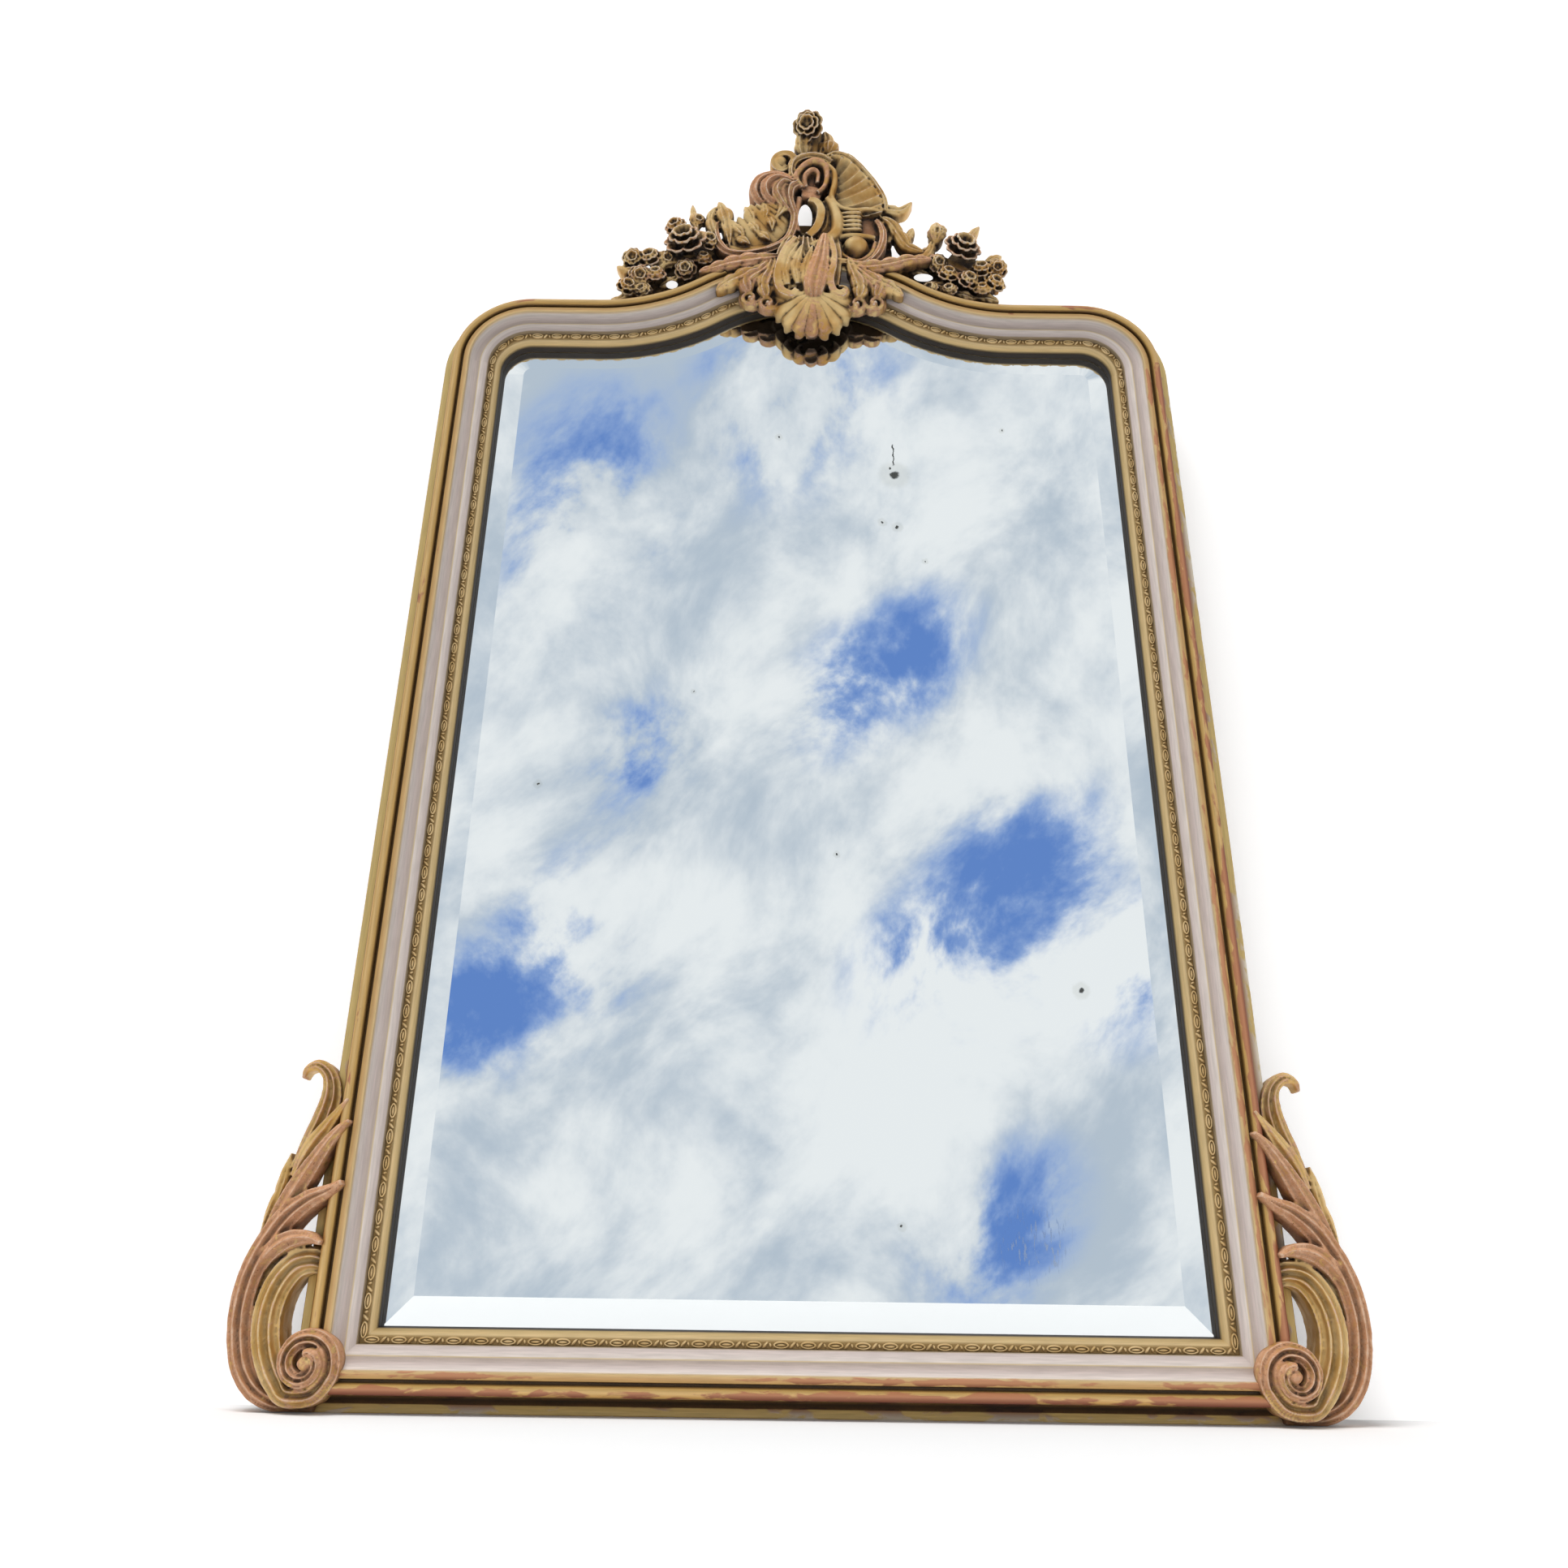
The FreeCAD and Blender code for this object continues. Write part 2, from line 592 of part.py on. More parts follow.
def hanger_ring():
    """A wire ring with one straight side through the origin, which turns in the knuckle."""
    bar = size.ring_radius * QUARTER
    left = Vector(-bar, 0, 0)
    right = Vector(bar, 0, 0)
    straight = Part.makeCylinder(size.ring_wire, 2 * bar, left, Vector(1, 0, 0))
    section = Part.Face(Part.Wire(Part.Circle(right, Vector(1, 0, -1), size.ring_wire).toShape()))
    bend = section.revolve(Vector(0, 0, -bar), Vector(0, 1, 0), 270)
    knees = [Part.makeSphere(size.ring_wire, knee) for knee in (left, right)]
    return largest(straight.fuse([bend] + knees))


screws = []
for label, side in (("left", -1), ("right", 1)):
    hanger_plate("hanger_plate_" + label, side)
    ring = shaped("hanger_ring_" + label, hanger_ring())
    ring.Placement = FreeCAD.Placement(Vector(side * hanger_x, ring_y, hanger_z), FreeCAD.Rotation())
    for sign in (-1, 1):
        screws.append(pin(side * hanger_x, hanger_z + sign * size.hanger_hole_spacing / 2,
                          -size.carcass_depth - size.hanger_thickness, 1, size.screw_length,
                          size.screw_shank, size.screw_head, size.screw_rise))
shaped("hanger_screws", Part.makeCompound(screws))

# ---- carving helpers ------------------------------------------------------------------------------------

SECTION_POINTS = 8
FACET_POINTS = 6


def section_rings(stations, points):
    """A ring of points about each (x, z, v, width, thickness) station of a path."""
    centres = [at(x, z, v) for x, z, v, width, thickness in stations]
    rings = []
    for number, (x, z, v, width, thickness) in enumerate(stations):
        along = centres[min(number + 1, len(centres) - 1)] - centres[max(number - 1, 0)]
        along.normalize()
        across = along.cross(Vector(0, -1, 0)).normalize()
        outward = across.cross(along)
        turns = [2 * math.pi * step / points for step in range(points)]
        rings.append([centres[number] + across * (width / 2 * math.cos(angle))
                      + outward * (thickness / 2 * math.sin(angle)) for angle in turns])
    return rings


def carved(stations):
    """A carved stem, band or leaf with a smooth round section."""
    sections = []
    for ring in section_rings(stations, SECTION_POINTS):
        curve = Part.BSplineCurve()
        curve.interpolate(ring, PeriodicFlag=True)
        sections.append(Part.Wire(curve.toShape()))
    return Part.makeLoft(sections, True, False)


def faceted(stations):
    """A rib left in flats by a straight chisel."""
    sections = [Part.makePolygon(ring + ring[:1]) for ring in section_rings(stations, FACET_POINTS)]
    return Part.makeLoft(sections, True, True)


def volute(x, z, v, radius, turn, side, start):
    """A snail: a band that winds in from the rim, on a round ground."""
    stations = []
    steps = 12
    for step in range(steps + 1):
        share = step / steps
        angle = start + side * turn * 2 * math.pi * share
        reach = radius * (0.80 - 0.62 * share)
        band = radius * (0.40 - 0.16 * share)
        stations.append((x + reach * math.cos(angle), z + reach * math.sin(angle),
                         v + radius * 0.16 * share, band, band))
    eye = Part.makeSphere(radius * 0.2, at(x, z, v + radius * 0.16))
    ground = Part.makeCylinder(radius * 0.86, radius * 0.24, at(x, z, v - radius * 0.24),
                               Vector(0, -1, 0))
    return carved(stations).fuse([ground, eye])


def rose(x, z, v, radius):
    """An open rose: five round petals about a bud, flat at the back."""
    petals = []
    for number in range(5):
        angle = 2 * math.pi * (number + 0.25) / 5
        petals.append(Part.makeSphere(radius * 0.45, at(x + 0.55 * radius * math.cos(angle),
                                                        z + 0.55 * radius * math.sin(angle), v)))
    bud = Part.makeSphere(radius * 0.42, at(x, z, v + radius * 0.28))
    return bud.fuse(petals)


def in_front_of(shape, v):
    """What of a carving stands in front of the height v."""
    room = 4 * size.crest_height
    return shape.common(front_box(-room, room, -room, 8 * room, v, v + room))


def clear_of(shape, others):
    """A carving cut back from each of the others that it comes near."""
    near = [other for other in others if other.BoundBox.intersect(shape.BoundBox)]
    return shape.cut(near) if near else shape


def seated(shape, others):
    """A carving cut to fit on what carries it."""
    return largest(clear_of(shape, others))


# ---- crest: plank, wings and applied carving, heights counted from the crown --------------------------------

crest_z = crown_top
rise = size.crest_height / 268
wing = size.crest_half / 250
under_arch = outline_slab(member, -size.crest_back, size.crest_front)
MOULDING_TOP = [mouldings["sight_edge_top"], mouldings["painted_cove_top"],
                mouldings["outer_moulding_top"]]


def crest(x, z):
    """A place on the crest from the middle of the crown's top edge."""
    return (x * wing, crest_z + z * rise)


def crest_stations(rows):
    return [crest(x, z) + (v, width, thickness) for x, z, v, width, thickness in rows]


PLANK = [(-112, -75), (-118, -10), (-122, 22), (-112, 48), (-92, 40), (-72, 62), (-56, 92),
         (-64, 124), (-46, 144), (-22, 148), (-10, 176), (-12, 214), (0, 240), (14, 222),
         (28, 198), (56, 180), (80, 150), (96, 112), (98, 76), (110, 48), (118, 20), (116, -10),
         (112, -75), (0, -110)]
plank = curved_plate([crest(x, z) for x, z in PLANK], -size.crest_back, size.crest_front)
eye_x, eye_z = crest(1, 62)
eye = Part.makeCylinder(10, size.crest_back + size.crest_front,
                        at(eye_x, eye_z, -size.crest_back), Vector(0, -1, 0))
eye_low_x, eye_low_z = crest(-2, 76)
eye = eye.fuse(Part.makeCylinder(10, size.crest_back + size.crest_front,
                                 at(eye_low_x, eye_low_z, -size.crest_back), Vector(0, -1, 0)))
plank = largest(plank.cut([under_arch, eye]))
shaped("crest_plank", plank)

WING_LEFT = [(-118, -40), (-128, 22), (-160, 42), (-188, 30), (-196, -4), (-226, -16),
             (-244, -22), (-246, -56), (-250, -84), (-220, -100), (-160, -90)]
WING_RIGHT = [(118, -40), (124, 2), (160, -4), (186, -2), (206, 22), (230, 14), (240, -14),
              (250, -40), (252, -84), (220, -100), (160, -90)]
wings = {}
for label, points, hole_x, hole_z in (("left", WING_LEFT, -182, -54), ("right", WING_RIGHT, 160, -38)):
    blank = curved_plate([crest(x, z) for x, z in points], -size.crest_back, size.crest_front)
    gap_x, gap_z = crest(hole_x, hole_z)
    gap = Part.makeCylinder(7, size.crest_back + size.crest_front,
                            at(gap_x, gap_z, -size.crest_back), Vector(0, -1, 0))
    wings[label] = largest(blank.cut([under_arch, plank, gap]))
    shaped("crest_wing_" + label, wings[label])

applied = []


def apply(label, shape, seat_v):
    """Applied carving: flat behind, and cut clear of everything it sits against."""
    shape = in_front_of(shape, seat_v)
    shape = seated(shape, [plank, wings["left"], wings["right"]] + MOULDING_TOP + applied)
    applied.append(shape)
    shaped(label, shape)


front = size.crest_front
lap = size.lap_rise

shield = carved(crest_stations([(2, -92, lap + 6, 34, 14), (0, -70, lap + 8, 62, 18),
                                (-3, -36, lap + 8, 66, 22), (-6, 0, lap + 1, 58, 28),
                                (-12, 30, lap - 9, 34, 22)]))
apply("crest_shield", shield, front)

drop_ribs = []
for number in range(7):
    angle = math.radians(198 + 24 * number)
    spread = 47 if number not in (3, 4) else 44
    rim_x = 11 + spread * math.cos(angle)
    rim_z = -88 + 42 * math.sin(angle)
    drop_ribs.append(faceted(crest_stations([
        (11 + 0.3 * spread * math.cos(angle), -88 + 12 * math.sin(angle), lap + 2, 12, 12),
        (11 + 0.7 * spread * math.cos(angle), -88 + 29 * math.sin(angle), lap - 12, 16, 11),
        (rim_x, rim_z, lap - 27, 19, 9)])))
shell = drop_ribs[0].fuse(drop_ribs[1:])
apply("crest_drop_shell", shell, 2)

for label, side, x_lobe in (("left", -1, -66), ("right", 1, 82)):
    lobe = carved(crest_stations([(x_lobe - side * 22, -16, lap + 6, 26, 12),
                                  (x_lobe - side * 8, -46, lap + 6, 40, 14),
                                  (x_lobe, -74, lap - 5, 46, 22),
                                  (x_lobe, -92, lap - 17, 38, 18),
                                  (x_lobe, -101, lap - 23, 18, 10)]))
    apply("crest_lobe_" + label, lobe, 2)

ear_ribs = []
EAR = [(24, 118, 34, 176), (30, 112, 52, 172), (36, 104, 70, 158), (40, 94, 84, 138),
       (44, 82, 92, 116), (46, 70, 96, 94), (48, 58, 94, 74)]
for x_in, z_in, x_out, z_out in EAR:
    x_mid = (x_in + x_out) / 2
    z_mid = (z_in + z_out) / 2
    ear_ribs.append(faceted(crest_stations([(x_in, z_in, front + 1, 9, 10),
                                            (x_mid, z_mid, front + 3, 14, 16),
                                            (x_out, z_out, front + 5, 18, 18)])))
ear_rim = faceted(crest_stations([(16, 46, front + 2, 12, 14), (34, 62, front + 4, 14, 18),
                                  (32, 92, front + 5, 14, 20), (14, 118, front + 4, 12, 18)]))
apply("crest_ear", ear_rim.fuse(ear_ribs), front)

top_x, top_z = crest(6, 148)
apply("crest_curl_top", volute(top_x, top_z, front + 5, 25, 1.4, -1, 4.2), front)
curl_x, curl_z = crest(-42, 116)
curl_band = carved(crest_stations([(-36, 96, front + 4, 22, 20), (-16, 84, front + 4, 16, 18),
                                   (-20, 56, front + 4, 14, 16), (-38, 24, front + 3, 12, 14)]))
left_curl = volute(curl_x, curl_z, front + 5, 28, 1.3, 1, 4.6).fuse(curl_band)
apply("crest_curl_left", left_curl, front)

finial = carved(crest_stations([(4, 176, 8, 26, 24), (-2, 204, 8, 28, 24), (0, 226, 9, 26, 26),
                                (2, 250, 9, 38, 34), (4, 262, 8, 20, 18), (5, 268, 8, 6, 6)]))
finial = seated(finial, [plank] + applied)
applied.append(finial)
shaped("crest_finial", finial)

scroll_left = carved(crest_stations([(-36, 18, front + 4, 12, 14), (-66, 4, front + 5, 13, 16),
                                     (-100, 6, front + 5, 14, 16), (-120, 30, front + 4, 16, 16),
                                     (-121, 58, front + 2, 22, 16), (-119, 80, front, 6, 6)]))
rocaille = carved(crest_stations([(-42, 28, front + 2, 30, 14), (-72, 34, front + 3, 44, 16),
                                  (-86, 56, front + 2, 24, 12), (-80, 84, front, 5, 5)]))
apply("crest_scroll_left", scroll_left.fuse(rocaille), front - 12)

scroll_right = carved(crest_stations([(40, 34, front + 3, 10, 12), (36, 8, front + 5, 12, 14),
                                      (58, -10, front + 6, 13, 16), (90, 0, front + 5, 13, 16),
                                      (106, 30, front + 3, 12, 14)]))
cabochon = carved(crest_stations([(66, -4, front + 3, 12, 8), (66, 6, front + 6, 32, 18),
                                  (68, 20, front + 6, 36, 20), (70, 34, front + 4, 12, 8)]))
spur = carved(crest_stations([(96, 74, front, 18, 16), (114, 66, front + 2, 20, 14),
                              (132, 72, front + 1, 16, 10), (141, 88, front, 5, 5)]))
apply("crest_scroll_right", scroll_right.fuse([cabochon, spur]), front - 12)

leaf_left = carved(crest_stations([(-38, -2, lap + 4, 22, 14), (-70, -14, lap + 5, 32, 14),
                                   (-96, -30, lap + 5, 34, 14), (-100, -58, lap + 4, 14, 8)]))
apply("crest_leaf_left", leaf_left, front)
leaf_right = carved(crest_stations([(44, -14, lap + 4, 22, 14), (76, -22, lap + 5, 30, 14),
                                    (104, -30, lap + 5, 32, 14), (112, -58, lap + 4, 14, 8)]))
apply("crest_leaf_right", leaf_right, front)

for label, x_rose, z_rose, radius in (("left", -166, 6, 32), ("right", 212, -6, 30)):
    place_x, place_z = crest(x_rose, z_rose)
    apply("crest_rose_" + label, rose(place_x, place_z, front + 6, radius), front)

SPRAYS = {
    "left": [(-200, -36, 18), (-224, -52, 20), (-236, -24, 19), (-240, -72, 16), (-150, -34, 17),
             (-216, -72, 16)],
    "right": [(178, -14, 16), (180, -62, 17), (206, -46, 19), (230, -58, 19), (246, -74, 15),
              (248, -38, 17), (152, -12, 13)],
}
for label, flowers in SPRAYS.items():
    buds = []
    for x_bud, z_bud, radius in flowers:
        place_x, place_z = crest(x_bud, z_bud)
        buds.append(Part.makeSphere(radius, at(place_x, place_z, front)))
    stem = carved(crest_stations([(flowers[0][0], flowers[0][1], front + 2, 14, 14),
                                  (flowers[1][0], flowers[1][1], front + 3, 16, 16),
                                  (flowers[3][0], flowers[3][1], front + 2, 12, 12)]))
    spray = in_front_of(stem.fuse(buds), front)
    spray = clear_of(spray, [plank, wings["left"], wings["right"]] + MOULDING_TOP + applied)
    clumps = [solid for solid in spray.Solids if solid.Volume > 200]
    applied.append(Part.makeCompound(clumps))
    shaped("crest_garland_" + label, Part.makeCompound(clumps))

# ---- batten and iron straps behind the crest -----------------------------------------------------------------

batten = front_box(-size.batten_width / 2, size.batten_width / 2, crown_top - member,
                   crown_top + size.batten_height, -size.carcass_depth, -size.crest_back)
shaped("crest_batten", largest(batten.cut(outline_slab(member, -size.carcass_depth,
                                                       -size.crest_back))))
strap_z = crown_top
straps = []
strap_screws = []
for side in (-1, 1):
    x_strap = side * size.strap_spacing / 2
    strap = front_box(x_strap - size.strap_width / 2, x_strap + size.strap_width / 2,
                      strap_z - size.strap_length / 2, strap_z + size.strap_length / 2,
                      -size.carcass_depth - size.strap_thickness, -size.carcass_depth)
    for sign in (-1, 1):
        z_hole = strap_z + sign * size.strap_hole_spacing / 2
        strap = strap.cut(Part.makeCylinder(size.screw_shank, size.strap_thickness,
                                            at(x_strap, z_hole, -size.carcass_depth),
                                            Vector(0, 1, 0)))
        strap_screws.append(pin(x_strap, z_hole, -size.carcass_depth - size.strap_thickness, 1,
                                size.screw_length, size.screw_shank, size.screw_head,
                                size.screw_rise))
    straps.append(strap)
shaped("crest_straps", Part.makeCompound(straps))
shaped("strap_screws", Part.makeCompound(strap_screws))

# ---- corner carving, places counted from the outer side of the stile ------------------------------------------

reach = size.corner_reach / 69
tall = size.corner_height / 165
CORNER_BAND = [(-6, 27, 2, 44, 34), (18, 31, 3, 46, 38), (37, 52, 4, 47, 40), (43, 88, 5, 50, 40),
               (37, 124, 4, 44, 38), (20, 146, 3, 38, 34), (-6, 150, 2, 34, 30)]
CORNER_LEAF = [(18, 158, 4, 28, 34), (27, 184, 4, 24, 32), (18, 212, 3, 30, 28),
               (6, 246, 2, 26, 24), (4, 276, 2, 18, 20), (14, 306, 2, 13, 16), (30, 319, 2, 7, 9)]
LAP_LEAVES = [
    [(22, 142, 20, 24, 16), (2, 146, 38, 18, 12), (-20, 142, 48, 12, 8), (-27, 130, 47, 5, 5)],
    [(25, 168, 19, 22, 16), (4, 180, 38, 20, 12), (-14, 196, 47, 14, 8), (-24, 210, 46, 5, 5)],
    [(18, 204, 15, 22, 16), (-2, 226, 38, 18, 12), (-14, 246, 47, 13, 8), (-22, 262, 46, 5, 5)],
]


def corner_stations(rows):
    """Stations of the left corner, from places beside the stile and over the base."""
    return [(-half_frame - x * reach, z * tall, v, width, thickness)
            for x, z, v, width, thickness in rows]


outside = front_box(-2 * half_frame, -half_frame, 0, sight_top,
                    -size.carcass_depth, lap + size.volute_rise)
run = [mouldings["outer_moulding_left"], mouldings["painted_cove_left"],
       mouldings["outer_moulding_bottom"], mouldings["painted_cove_bottom"]]
band = largest(carved(corner_stations(CORNER_BAND)).common(outside))
leaf = largest(carved(corner_stations(CORNER_LEAF)).common(outside).cut(band))
snail = volute(24 - half_frame, 33, lap + size.volute_rise / 2, size.volute_radius,
               1.4, 1, math.pi / 2)
over_corner = front_box(-size.frame_width, 0, 0, sight_top, lap - 1, 3 * lap)
snail = largest(snail.common(over_corner).cut(run + [band]))
curls = [carved(corner_stations(rows)) for rows in LAP_LEAVES]
stile_side = front_box(-half_frame, -half_sight, 0, sight_top,
                       -size.carcass_depth, size.edge_rise)
lapped = curls[0].fuse(curls[1:]).cut(run + [band, leaf, snail, stile_side])
sprigs = Part.makeCompound([solid for solid in lapped.Solids if solid.Volume > 300])

for name, left_shape in (("corner_scroll", band), ("corner_leaf", leaf),
                         ("corner_volute", snail), ("corner_sprigs", sprigs)):
    shaped(name + "_left", left_shape)
    shaped(name + "_right", left_shape.mirror(Vector(0, 0, 0), Vector(1, 0, 0)))

# ---- check and write -------------------------------------------------------------------------------------------

doc.recompute()
faults = []
for obj in doc.Objects:
    if "Invalid" in obj.State or "Error" in obj.State:
        faults.append("%s: %s" % (obj.Name, obj.State))
for obj in parts:
    if obj.Shape.isNull() or not obj.Shape.isValid():
        faults.append("%s: bad shape" % obj.Label)
if faults:
    raise RuntimeError("; ".join(faults))

os.makedirs("parts", exist_ok=True)
for obj in parts:
    obj.Shape.exportStep("parts/%s.step" % obj.Label)
print("%d parts written" % len(parts))
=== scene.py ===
# %% [markdown]
# # A painted and gilded trumeau mirror
# The frame is softwood, coated with gesso (chalk bound in glue), painted lilac grey in the
# cove and gilded everywhere else. The carving is gilded over red clay, and a century of
# dusting has rubbed it through. The construction comes as a fixed frame of parts; this
# lesson gives every part its surface, and carves the ornament as real meshes around it.
#
# The frame is loaded first, because the main sizes below are read from its parts.

# %% Load the frame
import math
from functools import partial

import bmesh
import bpy
import numpy as np
from mathutils import Matrix, Vector, kdtree, noise


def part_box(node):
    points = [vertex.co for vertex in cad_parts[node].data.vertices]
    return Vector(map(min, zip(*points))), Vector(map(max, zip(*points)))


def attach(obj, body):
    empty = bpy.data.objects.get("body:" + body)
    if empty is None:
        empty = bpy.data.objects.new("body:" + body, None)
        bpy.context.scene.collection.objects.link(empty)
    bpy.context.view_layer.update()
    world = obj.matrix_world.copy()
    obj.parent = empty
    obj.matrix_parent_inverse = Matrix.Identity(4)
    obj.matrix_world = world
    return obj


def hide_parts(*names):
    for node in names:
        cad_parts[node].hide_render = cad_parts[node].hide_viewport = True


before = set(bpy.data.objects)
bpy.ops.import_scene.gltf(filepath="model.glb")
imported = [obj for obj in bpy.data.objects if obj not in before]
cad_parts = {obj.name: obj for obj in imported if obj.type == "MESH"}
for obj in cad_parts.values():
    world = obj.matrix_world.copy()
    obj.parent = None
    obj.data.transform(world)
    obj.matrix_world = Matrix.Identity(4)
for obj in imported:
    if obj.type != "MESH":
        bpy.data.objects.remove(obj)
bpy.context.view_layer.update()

MM = 0.001
BODY = "frame"

# %% [markdown]
# ## Places
# A mirror frame is drawn from the front, so this lesson places things the way a carver
# would: x to the right, z up, and v, the height of the carving, towards the viewer from
# the front of the carcass. All three are in millimetres. One function turns them into the
# frame's metres.

# %% Sizes read from the frame
def corners(node):
    """The two corners of a part's box, in millimetres."""
    low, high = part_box(node)
    return low / MM, high / MM


FACE_Y = corners("carcass_left_stile")[0].y
HALF_FRAME = -corners("outer_moulding_left")[0].x
HALF_SIGHT = -corners("sight_edge_left")[1].x
SIGHT_LOW = corners("sight_edge_bottom")[1].z
SPRING = corners("sight_edge_left")[1].z
CROWN_TOP = corners("outer_moulding_top")[1].z
MEMBER = HALF_FRAME - HALF_SIGHT


def place(points):
    """Carver's (x, z, v) rows in millimetres as (x, y, z) rows in metres."""
    points = np.asarray(points, float)
    return np.stack([points[..., 0], FACE_Y - points[..., 2], points[..., 1]], -1) * MM


print("moulding %.0f mm wide, spring at %.0f mm, crown at %.0f mm" % (MEMBER, SPRING, CROWN_TOP))

# %% [markdown]
# ## Colours and nodes
# Paint makers give colours as sRGB hex values, and a renderer works in linear light. One
# function turns the first into the second. A second one adds a node to a material, sets
# it and links it, so that a finish reads as one line for each thing that was done to it.

# %% Colour and node helpers
def linear(hex_value):
    """An sRGB hex colour as linear RGBA."""
    channels = [int(hex_value[i:i + 2], 16) / 255 for i in (1, 3, 5)]
    return tuple(c / 12.92 if c <= 0.04045 else ((c + 0.055) / 1.055) ** 2.4
                 for c in channels) + (1.0,)


def add_node(tree, kind, *inputs, **named):
    """Adds a node: its settings by name, its inputs in order or by name, as values or links."""
    node = tree.nodes.new("ShaderNode" + kind)
    settings = [name for name in named if hasattr(node, name)]
    for name in settings:
        setattr(node, name, named[name])
    filled = list(zip([socket for socket in node.inputs if socket.enabled], inputs))
    filled += [(node.inputs[name.replace("_", " ")], value)
               for name, value in named.items() if name not in settings]
    for socket, value in filled:
        if isinstance(value, bpy.types.Node):
            value = next(out for out in value.outputs if out.enabled)
        if isinstance(value, bpy.types.NodeSocket):
            tree.links.new(value, socket)
        else:
            socket.default_value = value
    return node


def new_material(name):
    """An empty material, and the function that adds nodes to it."""
    material = bpy.data.materials.new(name)
    material.use_nodes = True
    material.node_tree.nodes.clear()
    return material, partial(add_node, material.node_tree)


def every(mm):
    """A noise scale whose features are about that many millimetres apart."""
    return 1 / (mm * MM)


COLOUR = {"data_type": "RGBA"}
SOFT = {"interpolation_type": "SMOOTHSTEP"}
# LESS and TIMES keep to 0..1; SUM is its first input times its second, plus its third.
LESS = {"operation": "SUBTRACT", "use_clamp": True}
TIMES = {"operation": "MULTIPLY", "use_clamp": True}
SUM = {"operation": "MULTIPLY_ADD"}
MOST = {"operation": "MAXIMUM"}
print("white is", linear("#FFFFFF"))

# %% [markdown]
# ## Water gilding, rubbed
# The gilder coats the gesso with bole, a red clay, wets it and lays gold leaf on it. Where
# dusters have rubbed the high places the leaf is gone and the clay shows, first terracotta
# and then, where it is thin, the cream of the gesso; on the sharpest arrises that cream is
# also a painted highlight. The hollows keep the leaf, and keep a hundred years of soot as
# well, and the soot is laid on darker as painted shade in the hollows. So the finish is
# built in the same order as the real one: clay over gesso, leaf over clay, soot and painted
# shade over all. Pointiness tells high places from hollows, ambient occlusion tells how deep
# a hollow is, and a tone stored on the mesh says how much clay shows on each form. Nobody
# gilds the side that faces the wall: there the wood is bare, and painted dark as the shade
# of the unlit backs that the mirror shows.

# %% Gilding
CHALK = "#EADFCB"
CLAY = "#C18B64"
CLAY_PALE = "#D6A986"
CLAY_DEEP = "#84502F"
LEAF = "#C99750"
LEAF_PALE = "#E6C488"
# Soot colours, laid on as soot and as painted shade in hollows and recesses.
SOOT_AND_SHADE = "#1C0F05"
SOOT_AND_SHADE_PALE = "#573717"
BARE_WOOD_AND_SHADE = "#5E4630"


